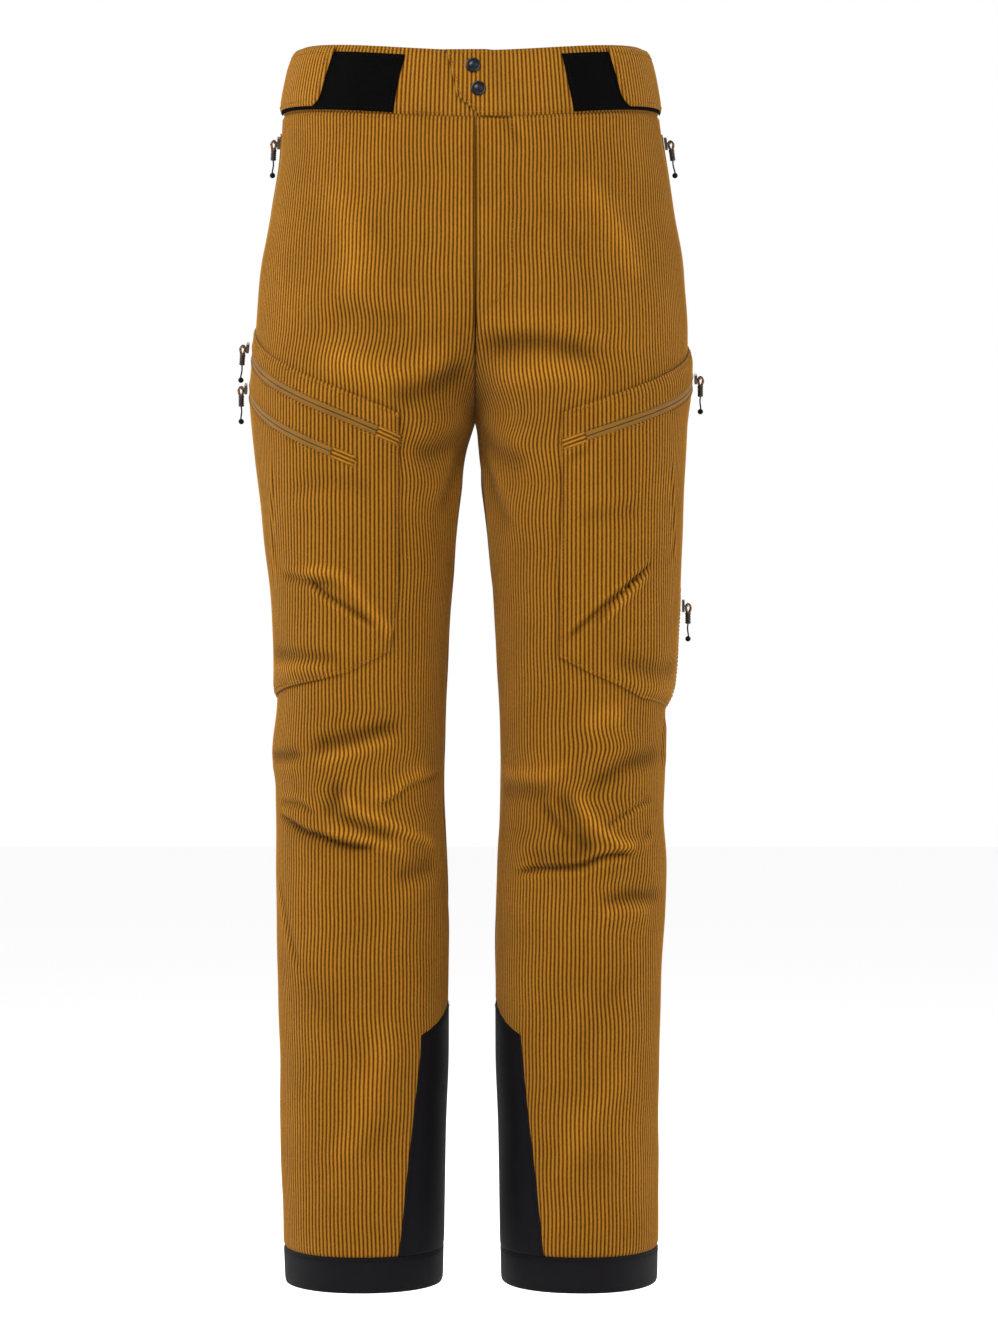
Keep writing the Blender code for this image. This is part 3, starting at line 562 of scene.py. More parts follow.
@dataclass
class Sheet:
    """A wall of cloth between an outer and an inner face, each a grid of points.

    first and last are the columns where the cloth starts and ends in each row. The inner face
    has only the coarse rows and columns.
    """

    outer: Array
    inner: Array
    first: Array
    last: Array
    coarse_rows: Array
    coarse_columns: Array
    uv: Array
    # Painted shading for each point: painted shade below zero, painted light above it.
    nap: Array

    def object(self, name: str, material: bpy.types.Material) -> bpy.types.Object:
        """The closed mesh of the sheet.

        Args:
            name: The piece's name.
            material: Its finish.

        Returns:
            The new object, at the origin.
        """
        rows, columns = self.outer.shape[:2]
        span = np.arange(columns)[None, :]
        kept = (span >= self.first[:, None]) & (span <= self.last[:, None])
        clipped = np.clip(span, self.first[:, None], self.last[:, None])
        starts = np.concatenate([[0], np.cumsum(kept.sum(1))[:-1]])
        outer_ids = clipped - self.first[:, None] + starts[:, None]
        picked_rows = self.coarse_rows
        start, stop = self.first[picked_rows, None], self.last[picked_rows, None]
        coarse = np.clip(self.coarse_columns[None, :], start, stop)
        fresh = np.concatenate([np.ones((len(picked_rows), 1), bool), np.diff(coarse, axis=1) != 0], 1)
        base = int(kept.sum())
        inner_ids = (np.cumsum(fresh.ravel()) - 1).reshape(fresh.shape) + base
        at_rows = np.repeat(picked_rows[:, None], coarse.shape[1], 1)[fresh]
        at_columns = coarse[fresh]
        points = np.concatenate([self.outer[kept], self.inner[at_rows, at_columns]])
        uv = np.concatenate([self.uv[kept], self.uv[at_rows, at_columns]])
        nap = np.concatenate([self.nap[kept], self.nap[at_rows, at_columns]])

        faces = numbered_faces(outer_ids)
        faces += [face[::-1] for face in numbered_faces(inner_ids)]
        walls = []
        for i, (low, high) in enumerate(zip(picked_rows, picked_rows[1:])):
            left = outer_ids[low : high + 1, 0].tolist()
            right = outer_ids[low : high + 1, -1].tolist()
            walls.append(left + [int(inner_ids[i + 1, 0]), int(inner_ids[i, 0])])
            walls.append(right[::-1] + [int(inner_ids[i, -1]), int(inner_ids[i + 1, -1])])
        for row, inner_row, upward in ((0, 0, False), (rows - 1, len(picked_rows) - 1, True)):
            stops = coarse[inner_row]
            for j, (left, right) in enumerate(zip(stops, stops[1:])):
                if left == right:
                    continue
                edge = outer_ids[row, left : right + 1].tolist()
                ends = [int(inner_ids[inner_row, j + 1]), int(inner_ids[inner_row, j])]
                walls.append(edge + ends if upward else edge[::-1] + ends[::-1])
        smooth = len(faces)
        mesh = bpy.data.meshes.new(name)
        mesh.from_pydata(points.tolist(), [], faces + walls)
        mesh.polygons.foreach_set("use_smooth", np.arange(len(mesh.polygons)) < smooth)
        corners = np.empty(len(mesh.loops), np.int32)
        mesh.loops.foreach_get("vertex_index", corners)
        mesh.uv_layers.new(name="weave").data.foreach_set("uv", uv[corners].astype(np.float32).ravel())
        # The painted shading is stored as a point attribute that the materials read.
        mesh.attributes.new("nap", "FLOAT", "POINT").data.foreach_set("value", nap.astype(np.float32))
        mesh.calc_loop_triangles()
        corners = np.empty(3 * len(mesh.loop_triangles), np.int32)
        mesh.loop_triangles.foreach_get("vertices", corners)
        a, b, c = points[corners.reshape(-1, 3)].transpose(1, 0, 2)
        if np.einsum("ij,ij->", a, np.cross(b, c)) < 0:
            mesh.flip_normals()
        mesh.materials.append(material)
        return linked(name, mesh)


def flat_area(points: Array, first: Array, last: Array) -> float:
    """The area of a grid of points between its first and last columns, in square metres."""
    a, b, c, d = points[:-1, :-1], points[:-1, 1:], points[1:, 1:], points[1:, :-1]
    cells = 0.5 * np.linalg.norm(np.cross(c - a, d - b), axis=2)
    span = np.arange(points.shape[1] - 1)[None, :]
    start, stop = np.maximum(first[:-1], first[1:]), np.minimum(last[:-1], last[1:])
    inside = (span >= start[:, None]) & (span < stop[:, None])
    return float(cells[inside].sum())


@dataclass(frozen=True)
class Wales:
    """The ribs of corduroy: four grid lines to a rib."""

    pitch: float = 0.0035
    height: float = 0.00095
    sunk: float = 0.00050
    phases: tuple[float, ...] = (0.0, 0.17, 0.50, 0.83)
    shape: tuple[float, ...] = (0.0, 0.74, 1.0, 0.74)

    def lines(self, low: float, high: float) -> tuple[Array, Array]:
        """Grid lines from the rib at low to the rib at high, which are counted in ribs.

        Args:
            low: The first place, in ribs from the middle one.
            high: The last place.

        Returns:
            The lines' places in ribs and their heights in metres.
        """
        ribs = np.arange(math.floor(low) - 1, math.ceil(high) + 2)
        places = (ribs[:, None] + np.array(self.phases)).ravel()
        heights = np.tile(np.array(self.shape) * self.height - self.sunk, len(ribs))
        return places, heights

    @property
    def coarse(self) -> int:
        """How many grid lines make a rib."""
        return len(self.phases)


WALES = Wales()


def clamp_lines(s: Array, low: Array, high: Array, margin: float) -> tuple[Array, Array, Array]:
    """Ends grid lines where they run out at the edges of a piece.

    Args:
        s: Places of the lines, by row and column, rising along a row.
        low: The edge at the start of each row, by row and column.
        high: The edge at the end.
        margin: Lines closer to an edge than this end on it.

    Returns:
        The places moved to the edges, and the first and last columns of each row.
    """
    first = np.maximum((s < low + margin).sum(1) - 1, 0)
    last = s.shape[1] - np.maximum((s > high - margin).sum(1), 1)
    span = np.arange(s.shape[1])[None, :]
    s = np.where(span <= first[:, None], low, s)
    s = np.where(span >= last[:, None], high, s)
    return s, first, last


# ---------------------------------------------------------------- finishes


class Tree:
    """A material's nodes, with short calls for the ones used here."""

    def __init__(self, name: str) -> None:
        """Makes a material with a Principled shader.

        Args:
            name: The material's name.
        """
        self.material = bpy.data.materials.new(name)
        self.material.use_nodes = True
        self.nodes = self.material.node_tree.nodes
        self.links = self.material.node_tree.links
        self.shader = self.nodes["Principled BSDF"]

    @property
    def place(self) -> bpy.types.NodeSocket:
        """Places on the object."""
        return self.node("TexCoord").outputs["Object"]

    @property
    def weave(self) -> bpy.types.NodeSocket:
        """Places on the piece's own weave map."""
        return self.node("UVMap", uv_map="weave").outputs[0]

    @property
    def nap(self) -> bpy.types.NodeSocket:
        """The piece's painted shading: painted shade below zero and painted light above it."""
        return self.node("Attribute", attribute_name="nap").outputs["Fac"]

    def node(self, kind: str, inputs: dict[str | int, object] | None = None, **settings: object) -> bpy.types.Node:
        """Adds a node.

        Args:
            kind: Its type, without the ShaderNode at the front.
            inputs: Values or sockets for its inputs, by name or number.
            **settings: The node's own settings.

        Returns:
            The node.
        """
        made = self.nodes.new("ShaderNode" + kind)
        for key, value in settings.items():
            setattr(made, key, value)
        for key, value in (inputs or {}).items():
            self.feed(made.inputs[key], value)
        return made

    def feed(self, socket: bpy.types.NodeSocket, value: object) -> None:
        """Links a socket, or sets its value."""
        if isinstance(value, bpy.types.NodeSocket):
            self.links.new(value, socket)
        else:
            socket.default_value = value

    def math(self, operation: str, *values: object) -> bpy.types.NodeSocket:
        """The result of a Math node on sockets or numbers."""
        return self.node("Math", dict(enumerate(values)), operation=operation).outputs[0]

    def noise(self, vector: bpy.types.NodeSocket, scale: float, detail: float = 2.0) -> bpy.types.NodeSocket:
        """The factor of a Noise Texture."""
        return self.node("TexNoise", {"Vector": vector, "Scale": scale, "Detail": detail}).outputs["Fac"]

    def stretched(self, vector: bpy.types.NodeSocket, scale: Rgb) -> bpy.types.NodeSocket:
        """A vector scaled along its axes by a Mapping node."""
        return self.node("Mapping", {"Vector": vector, "Scale": scale}).outputs[0]

    def ramp(self, factor: bpy.types.NodeSocket, stops: Sequence[tuple[float, Rgb]]) -> bpy.types.NodeSocket:
        """The colour of a smooth ramp through (place, colour) stops."""
        made = self.node("ValToRGB", {"Fac": factor})
        made.color_ramp.interpolation = "EASE"
        elements = made.color_ramp.elements
        while len(elements) < len(stops):
            elements.new(0.5)
        for element, (place, colour) in zip(elements, stops):
            element.position = place
            element.color = (*colour, 1.0)
        return made.outputs["Color"]

    def plain(self, colour: Rgb) -> bpy.types.NodeSocket:
        """One colour all over."""
        made = self.node("RGB").outputs[0]
        made.default_value = (*colour, 1.0)
        return made

    def paint(self, colour: bpy.types.NodeSocket, tone: bpy.types.NodeSocket) -> None:
        """Colours the shader with a colour multiplied by a grey tone."""
        made = self.node("Mix", {"Factor": 1.0, 6: colour, 7: tone}, data_type="RGBA", blend_type="MULTIPLY")
        self.feed(self.shader.inputs["Base Color"], made.outputs[2])

    def bump(self, height: bpy.types.NodeSocket, distance: float, strength: float = 1.0) -> None:
        """Puts a bump of that depth in metres on the shader."""
        made = self.node("Bump", {"Height": height, "Distance": distance, "Strength": strength})
        self.feed(self.shader.inputs["Normal"], made.outputs[0])

    def surface(self, roughness: float, metallic: float = 0.0, sheen: float = 0.0, tint: Rgb = (1, 1, 1),
                specular: float = 0.5) -> None:
        """Sets the shader's own numbers."""
        for name, value in (("Roughness", roughness), ("Metallic", metallic), ("Sheen Weight", sheen),
                            ("Specular IOR Level", specular), ("Sheen Roughness", 0.35)):
            self.shader.inputs[name].default_value = value
        self.shader.inputs["Sheen Tint"].default_value = (*tint, 1.0)


@dataclass(frozen=True)
class Corduroy:
    """Cotton corduroy: velvety ribs, lighter on their crests and darker in the ground between them, partly the
    cloth's own colour and mostly painted light and painted shade.
    """

    name: str
    crest: Rgb
    flank: Rgb
    ground: Rgb
    sheen: float = 0.24

    def material(self) -> bpy.types.Material:
        """Builds the finish on the piece's own weave map, where a rib is one unit wide."""
        tree = Tree(self.name)
        weave = tree.weave
        place = tree.place
        fibre = tree.noise(tree.stretched(weave, (9.0, 5.0, 1.0)), 1.0, 3.0)
        tufts = tree.noise(tree.stretched(weave, (2.2, 1.6, 1.0)), 1.0, 2.0)
        patches = tree.noise(place, 22.0, 3.0)
        # Across each rib the colour runs from crest to ground: painted light on the crests and painted shade in
        # the grooves, over the cloth's own ochre.
        across = tree.node("SeparateXYZ", {0: weave}).outputs[0]
        wander = tree.math("MULTIPLY_ADD", tufts, 0.24, -0.12)
        rib = tree.math("FRACT", tree.math("ADD", across, wander))
        off_crest = tree.math("ABSOLUTE", tree.math("MULTIPLY_ADD", rib, 2.0, -1.0))
        groove_shading = tree.math("MULTIPLY_ADD", fibre, 0.50, tree.math("ADD", off_crest, -0.25))
        colour = tree.ramp(groove_shading, [(0.0, self.crest), (0.52, self.flank), (0.86, self.ground)])
        nap = tree.nap
        tone = tree.math("MULTIPLY_ADD", patches, 0.34, 0.83)
        tone = tree.math("MULTIPLY_ADD", fibre, 0.55, tree.math("ADD", tone, -0.275))
        # Painted shading from the piece's attribute: shade in creases, seams and along edges, light on ridges.
        tone = tree.math("MULTIPLY_ADD", nap, 0.45, tone)
        tree.paint(colour, tone)
        tree.bump(tree.math("ADD", fibre, tree.math("MULTIPLY", tufts, 0.5)), 0.00045, 1.0)
        tree.surface(0.88, sheen=self.sheen, tint=(1.0, 0.76, 0.42), specular=0.06)
        return tree.material


@dataclass(frozen=True)
class Woven:
    """Plain-woven nylon, tape or webbing, with crossing threads a set distance apart."""

    name: str
    colour: Rgb
    thread: float
    roughness: float
    sheen: float = 0.1
    relief: float = 0.00012

    def material(self) -> bpy.types.Material:
        """Builds the finish on the piece's own weave map, in metres."""
        tree = Tree(self.name)
        weave = tree.weave
        split = tree.node("SeparateXYZ", {0: weave})
        turns = math.tau / self.thread
        waves = [tree.math("SINE", tree.math("MULTIPLY", split.outputs[i], turns)) for i in (0, 1)]
        threads = tree.math("MULTIPLY", waves[0], waves[1])
        place = tree.place
        mottle = tree.noise(place, 60.0, 4.0)
        tone = tree.math("MULTIPLY_ADD", threads, 0.12, tree.math("MULTIPLY_ADD", mottle, 0.5, 0.75))
        nap = tree.nap
        # Painted shading from the piece's attribute, such as the painted shade in a zip's groove.
        tone = tree.math("MAXIMUM", tree.math("ADD", tone, nap), 0.04)
        tree.paint(tree.plain(self.colour), tone)
        tree.bump(tree.math("ADD", threads, tree.math("MULTIPLY", mottle, 0.6)), self.relief)
        tree.surface(self.roughness, sheen=self.sheen, specular=0.12)
        return tree.material


@dataclass(frozen=True)
class Fuzzy:
    """Brushed loops of a hook-and-loop patch, or felted string."""

    name: str
    colour: Rgb
    grain: float
    relief: float
    roughness: float = 1.0
    sheen: float = 0.3

    def material(self) -> bpy.types.Material:
        """Builds the finish on object coordinates."""
        tree = Tree(self.name)
        place = tree.place
        loops = tree.noise(place, 1.0 / self.grain, 4.0)
        clumps = tree.noise(place, 0.12 / self.grain, 2.0)
        tone = tree.math("MULTIPLY_ADD", loops, 1.4, tree.math("MULTIPLY_ADD", clumps, 0.5, 0.05))
        tree.paint(tree.plain(self.colour), tone)
        tree.bump(loops, self.relief)
        tree.surface(self.roughness, sheen=self.sheen, tint=(0.5, 0.5, 0.55), specular=0.05)
        return tree.material


@dataclass(frozen=True)
class Hard:
    """Metal, moulded rubber or plastic, with slight wear."""

    name: str
    colour: Rgb
    roughness: float
    metallic: float = 0.0

    def material(self) -> bpy.types.Material:
        """Builds the finish on object coordinates."""
        tree = Tree(self.name)
        place = tree.place
        wear = tree.noise(place, 900.0, 3.0)
        scuffs = tree.noise(place, 260.0, 5.0)
        tone = tree.math("MULTIPLY_ADD", scuffs, 0.4, 0.8)
        tree.paint(tree.plain(self.colour), tone)
        tree.feed(tree.shader.inputs["Roughness"], tree.math("MULTIPLY_ADD", scuffs, 0.3, self.roughness - 0.15))
        tree.bump(wear, 0.00004)
        tree.shader.inputs["Metallic"].default_value = self.metallic
        return tree.material


@dataclass(frozen=True)
class Thread:
    """Twisted sewing thread or cord."""

    name: str
    light: Rgb
    dark: Rgb
    lay: float = 0.0012

    def material(self) -> bpy.types.Material:
        """Builds the finish as slanted strands on object coordinates."""
        tree = Tree(self.name)
        place = tree.place
        strands = tree.node("TexWave", {"Vector": place, "Scale": 0.32 / self.lay, "Distortion": 2.0},
                            bands_direction="DIAGONAL").outputs["Fac"]
        tree.feed(tree.shader.inputs["Base Color"], tree.ramp(strands, [(0.1, self.dark), (0.8, self.light)]))
        tree.bump(strands, 0.0001)
        tree.surface(0.8, specular=0.08)
        return tree.material


class Finishes:
    """Every finish of the trousers, built once."""

    def __init__(self) -> None:
        """Builds the materials."""
        # Crest, flank and ground: the crest painted lighter and the ground painted darker than the cloth, as light
        # and shade fall on the ribs.
        self.corduroy = Corduroy("corduroy_ochre", (0.440, 0.200, 0.022), (0.275, 0.107, 0.0070),
                                 (0.085, 0.027, 0.0015)).material()
        self.band = Corduroy("corduroy_waistband", (0.455, 0.210, 0.026), (0.290, 0.115, 0.0080),
                             (0.095, 0.031, 0.0020)).material()
        self.loops = Fuzzy("loop_fabric_black", (0.0021, 0.0019, 0.0020), 0.0009, 0.0006, sheen=0.0).material()
        self.shell = Woven("shell_fabric_black", (0.0048, 0.0040, 0.0055), 0.0009, 0.62, sheen=0.0).material()
        self.tape = Woven("zip_tape_ochre", (0.250, 0.118, 0.018), 0.0008, 0.62, relief=0.00008).material()
        self.thread = Thread("thread_ochre", (0.430, 0.190, 0.026), (0.150, 0.058, 0.006)).material()
        self.black_thread = Thread("thread_black", (0.010, 0.009, 0.011), (0.003, 0.003, 0.003)).material()
        self.snap = Hard("snap_gunmetal", (0.030, 0.031, 0.034), 0.34, 1.0).material()
        self.slider = Hard("slider_dark_metal", (0.110, 0.085, 0.060), 0.42, 1.0).material()
        self.cord = Thread("pull_cord_brown", (0.330, 0.150, 0.050), (0.060, 0.022, 0.010), 0.0016).material()
        self.rubber = Hard("pull_grip_brown", (0.030, 0.018, 0.014), 0.50).material()
        self.string = Thread("pull_string_black", (0.016, 0.016, 0.019), (0.004, 0.004, 0.005), 0.0009).material()


# ---------------------------------------------------------------- skins that pieces lie on


class Skin:
    """A face of cloth that other pieces and stitches are laid on."""

    def __init__(self, side: Side, height: Callable[[Array, Array], Array]) -> None:
        """Names the face.

        Args:
            side: The side it is on.
            height: Its height in metres over the form at (s, z).
        """
        self.side = side
        self.height = height

    def at(self, s: Array, z: Array, lift: float | Array = 0.0) -> tuple[Array, Array]:
        """Points lift above the face, and the directions away from it."""
        points, normals = FORMS[self.side].at(s, z)
        rise = np.asarray(self.height(np.asarray(s, float), np.asarray(z, float)) + lift)
        return points + normals * rise[..., None], normals


def finish_piece(obj: bpy.types.Object, body: str, nodes: Sequence[str] = ()) -> bpy.types.Object:
    """Parents a piece to the body it rides on, and hides the imported parts it stands for."""
    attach(obj, body)
    if nodes:
        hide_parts(*nodes)
    return obj


def leg_panels(side: Side) -> list[str]:
    """The names of the panels of a leg."""
    return [f"{facing.word}_panel_{side.word}" for facing in Facing]


def report(obj: bpy.types.Object) -> None:
    """Logs a piece and its size in triangles."""
    triangles = sum(len(face.vertices) - 2 for face in obj.data.polygons)
    log.info("%s: %d triangles", obj.name, triangles)


def sewn(obj: bpy.types.Object, slot: str, node: str, **said: object) -> bpy.types.Object:
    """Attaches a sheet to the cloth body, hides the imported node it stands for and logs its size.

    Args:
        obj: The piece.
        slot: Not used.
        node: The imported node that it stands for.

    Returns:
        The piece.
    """
    finish_piece(obj, "root", [node])
    report(obj)
    return obj


@dataclass(frozen=True)
class CargoShape:
    """The edges of the cargo pockets, in metres."""

    back: float = -0.062
    front: dict[Side, Path] = field(default_factory=lambda: {
        Side.RIGHT: [(-0.300, 0.198), (-0.318, 0.195), (-0.475, 0.169), (-0.540, 0.153)],
        Side.LEFT: [(-0.300, 0.178), (-0.318, 0.176), (-0.392, 0.167), (-0.540, 0.156)]})
    top: dict[Side, Path] = field(default_factory=lambda: {
        Side.RIGHT: [(-0.080, -0.222), (0.0, -0.236), (0.196, -0.3195)],
        Side.LEFT: [(-0.080, -0.238), (0.0, -0.254), (0.178, -0.3190)]})
    bottom: dict[Side, Path] = field(default_factory=lambda: {
        Side.RIGHT: [(-0.080, -0.557), (0.0, -0.557), (0.100, -0.541), (0.124, -0.535), (0.158, -0.518)],
        Side.LEFT: [(-0.080, -0.568), (0.0, -0.567), (0.076, -0.557), (0.129, -0.536), (0.160, -0.521)]})

    def inside(self, side: Side, s: Array, z: Array) -> Array:
        """How far a place is inside the pocket's edges, in metres; below zero outside."""
        slant = 0.92
        edges = [s - self.back, straight(self.front[side], z) - s,
                 slant * (z - straight(self.bottom[side], s)), slant * (straight(self.top[side], s) - z)]
        return np.minimum.reduce(edges)


CARGO = CargoShape()


@dataclass(frozen=True)
class GuardShape:
    """The outline of the scuff guards, in metres: heights and half widths round from the inseam."""

    low: tuple[float, float] = (-1.0289, 0.085)
    shoulder: tuple[float, float] = (-0.843, 0.062)
    peak: float = -0.818

    def half(self, z: Array) -> Array:
        """The half width at heights z."""
        slope = (self.shoulder[1] - self.low[1]) / (self.shoulder[0] - self.low[0])
        return self.low[1] + slope * (z - self.low[0])

    def top(self, across: Array) -> Array:
        """The height of the top edge, across being -1 to 1 over the width."""
        return self.peak + (self.shoulder[0] - self.peak) * np.abs(across)

    def inside(self, side: Side, s: Array, z: Array) -> Array:
        """How far a place is inside the guard, in metres; below zero outside."""
        front, back = FORMS[side].lengths(z)
        round_it = np.minimum(np.abs(front - s), np.abs(s + back))
        half = self.half(z)
        return np.minimum(half - round_it, 0.9 * (self.top(np.clip(round_it / half, 0, 1)) - z))


GUARD = GuardShape()


@dataclass
class LegPanels:
    """The front and back panels of each leg, from the waistband to the hem band."""

    finishes: Finishes
    thickness: float = SIZES.cloth
    edge: float = 0.00005
    seam_sink: float = 0.0011
    seam_width: float = 0.0024
    under_pocket: float = 0.0024
    under_guard: float = 0.0016
    fly_width: float = 0.033
    fly_height: float = 0.0008
    fly_end: float = -0.233

    def levels(self, facing: Facing) -> Array:
        """Heights of the grid's rows, closer together where the cloth is creased and in front."""
        low, high = SIZES.hem + SIZES.hem_band + SIZES.seam, -SIZES.waistband - SIZES.seam
        spacing = [(low, 0.0055), (-0.76, 0.0050), (-0.73, 0.0029), (-0.565, 0.0029), (-0.545, 0.0045),
                   (-0.42, 0.0040), (-0.33, 0.0036), (-0.22, 0.0042), (high, 0.0042)]
        fine = np.array([0.0, 0.0010, 0.0020, 0.0032, 0.0048])
        rows, z = list(low + fine), low + fine[-1]
        while z < high - 0.0110:
            z += float(straight(spacing, z)) * (1.0 if facing is Facing.FRONT else 1.35)
            rows.append(z)
        return np.array(rows + list((high - fine)[::-1]))

    def fly(self, side: Side, s: Array, z: Array) -> Array:
        """The raised facing of the fly, on the wearer's left, rounded at its lower end."""
        if side is Side.RIGHT:
            return np.zeros(np.shape(s))
        front, _ = FORMS[side].lengths(z)
        near_end = np.clip((z - self.fly_end) / 0.040, 0, 1)
        width = self.fly_width * np.sqrt(1 - (1 - near_end) ** 2)
        return self.fly_height * ease((width - (front - s)) / 0.003 + 0.5) * (s > 0)

    def height(self, side: Side, s: Array, z: Array) -> Array:
        """The height of the cloth over the form, without its ribs."""
        rise, _ = creased(LEG_CREASES[side], s, z)
        front, back = FORMS[side].lengths(z)
        to_seam = np.minimum(front - s, s + back)
        rise = rise * ease((to_seam / 0.014 + 0.25))
        rise = rise + ripple(s, z, 0.7 * side.value) + self.fly(side, s, z)
        rise = rise - self.under_pocket * ease(CARGO.inside(side, s, z) / 0.010)
        return rise - self.under_guard * ease(GUARD.inside(side, s, z) / 0.005 + 0.5)

    def skin(self, side: Side) -> Skin:
        """The face of a leg's panels."""
        return Skin(side, lambda s, z: self.height(side, s, z))

    def grid(self, side: Side, facing: Facing) -> tuple[Array, ...]:
        """The places of a panel's grid lines.

        Args:
            side: The wearer's side.
            facing: Front or back.

        Returns:
            s, z, the first and last columns, places counted in ribs, and the lines' heights.
        """
        form = FORMS[side]
        levels = self.levels(facing)
        grain, (front, back) = form.grain(facing, levels), form.lengths(levels)
        low, high = (self.edge, front - self.edge) if facing is Facing.FRONT else (self.edge - back, -self.edge)
        places, heights = WALES.lines(float(((low - grain) / WALES.pitch).min()) - 1,
                                      float(((high - grain) / WALES.pitch).max()) + 1)
        z = np.repeat(levels[:, None], len(places), 1)
        fade = ease((levels - SIZES.dip_fade) / (-SIZES.waistband - SIZES.dip_fade))[:, None]
        for _ in range(3):
            front, back = form.lengths(z)
            low, high = (self.edge + 0 * z, front - self.edge) if facing is Facing.FRONT else (
                self.edge - back, -self.edge + 0 * z)
            lines = form.grain(facing, z) + places * self.pitch(z)
            lines = lines + leaning(side, lines, z) * ease(np.minimum(lines - low, high - lines) / 0.035)
            s, first, last = clamp_lines(lines, low, high, 0.0003)
            z = levels[:, None] + fade * form.waist_shift(np.clip(s, low, high))
        return s, z, first, last, places + (s - lines) / self.pitch(z), heights

    @staticmethod
    def pitch(z: Array) -> Array:
        """The width of a rib at a height; they run closer together towards the waist."""
        return WALES.pitch * np.interp(z, [-0.300, -0.056], [1.0, 0.955])

    def panel(self, side: Side, facing: Facing) -> bpy.types.Object:
        form = FORMS[side]
        s, z, first, last, rib_of, ribs = self.grid(side, facing)
        front, back = form.lengths(z)
        to_seam = np.minimum.reduce([np.abs(s), np.abs(front - s), np.abs(s + back)])
        levels = self.levels(facing)
        to_end = np.minimum(levels[-1] - levels, levels - levels[0])[:, None]
        to_edge = np.minimum(to_seam, to_end)
        rise, shade = creased(LEG_CREASES[side], s, z)
        height = self.height(side, s, z)
        height = height + ribs * (0.25 + 0.75 * ease(to_edge / 0.003))
        meeting = ease((np.abs(z - SIZES.crotch) - 0.020) / 0.060)
        meeting = meeting * (to_seam < np.abs(s)) + (to_seam == np.abs(s))
        height = height - self.seam_sink * bell(to_edge, self.seam_width) * meeting
        points, normals = form.at(s, z)
        outer, inner = walled(points, normals, height, np.minimum(height, 0) - self.thickness)
        uv = np.stack([rib_of, z / WALES.pitch], -1)
        # Painted shading: the creases' painted shade and light, painted shade along the seams and ends, a painted
        # shadow just outside the cargo pocket's edges, painted shade at the crotch, and a painted shadow along the
        # centre front seam above it.
        nap = shade - 0.45 * bell(to_edge, 0.0016)
        nap -= 0.55 * bell(CARGO.inside(side, s, z), 0.0024)
        nap -= 0.9 * np.exp(-((np.maximum(front - s, 0) / 0.022) ** 2) - ((z - SIZES.crotch) / 0.026) ** 2)
        nap -= 0.6 * bell(front - s, 0.0020) * (z > SIZES.crotch)
        sheet = ribbed_sheet(outer, inner, first, last, uv, nap)
        obj = sheet.object(f"{facing.word}_panel_{side.word}", self.finishes.corduroy)
        area = flat_area(points, first, last)
        span = np.take_along_axis(s, last[:, None], 1) - np.take_along_axis(s, first[:, None], 1)
        band = "waistband_back" if facing is Facing.BACK else f"waistband_front_{side.word}"
        flat = (round(float(span.max()), 3), round(float(levels[-1] - levels[0]) + 0.012, 3))
        return sewn(obj, "corduroy", f"{facing.word}_{side.word}", flat=flat, held="hung", area=round(area, 4),
                    rests_on=[band])

    def build(self) -> None:
        """Builds the four panels."""
        for side in Side:
            for facing in Facing:
                self.panel(side, facing)


def edge_rows(length: float, spacing: float, fine: Sequence[float] = (0.0008, 0.0016, 0.0026, 0.0042)) -> Array:
    """Places from 0 to length, closer together at both ends."""
    ends = np.array([0.0, *fine])
    count = max(1, round((length - 2 * ends[-1]) / spacing))
    middle = np.linspace(ends[-1], length - ends[-1], count + 1)[1:-1]
    return np.concatenate([ends, middle, (length - ends)[::-1]])


def thinned(count: int, step: int) -> Array:
    """Every step-th number below count, and always the last."""
    return np.unique(np.append(np.arange(0, count, step), count - 1))


def ribbed_sheet(outer: Array, inner: Array, first: Array, last: Array, uv: Array, nap: Array) -> Sheet:
    """A sheet of corduroy, whose inner face has a line for each rib and for every second row."""
    rows, columns = outer.shape[:2]
    return Sheet(outer, inner, first, last, thinned(rows, 2), thinned(columns, WALES.coarse), uv, nap)


def plain_sheet(outer: Array, inner: Array, uv: Array, nap: Array | None = None, coarse: int = 2) -> Sheet:
    """A sheet whose rows all run from the first to the last column.

    Args:
        outer: Points of the outer face, by row and column.
        inner: Points of the inner face.
        uv: Places on the weave.
        nap: Painted shade and light for each point, or none.
        coarse: Every how many rows and columns the inner face has a line.

    Returns:
        The sheet.
    """
    rows, columns = outer.shape[:2]
    nap = np.zeros((rows, columns)) if nap is None else nap
    first, last = np.zeros(rows, int), np.full(rows, columns - 1)
    return Sheet(outer, inner, first, last, thinned(rows, coarse), thinned(columns, coarse), uv, nap)


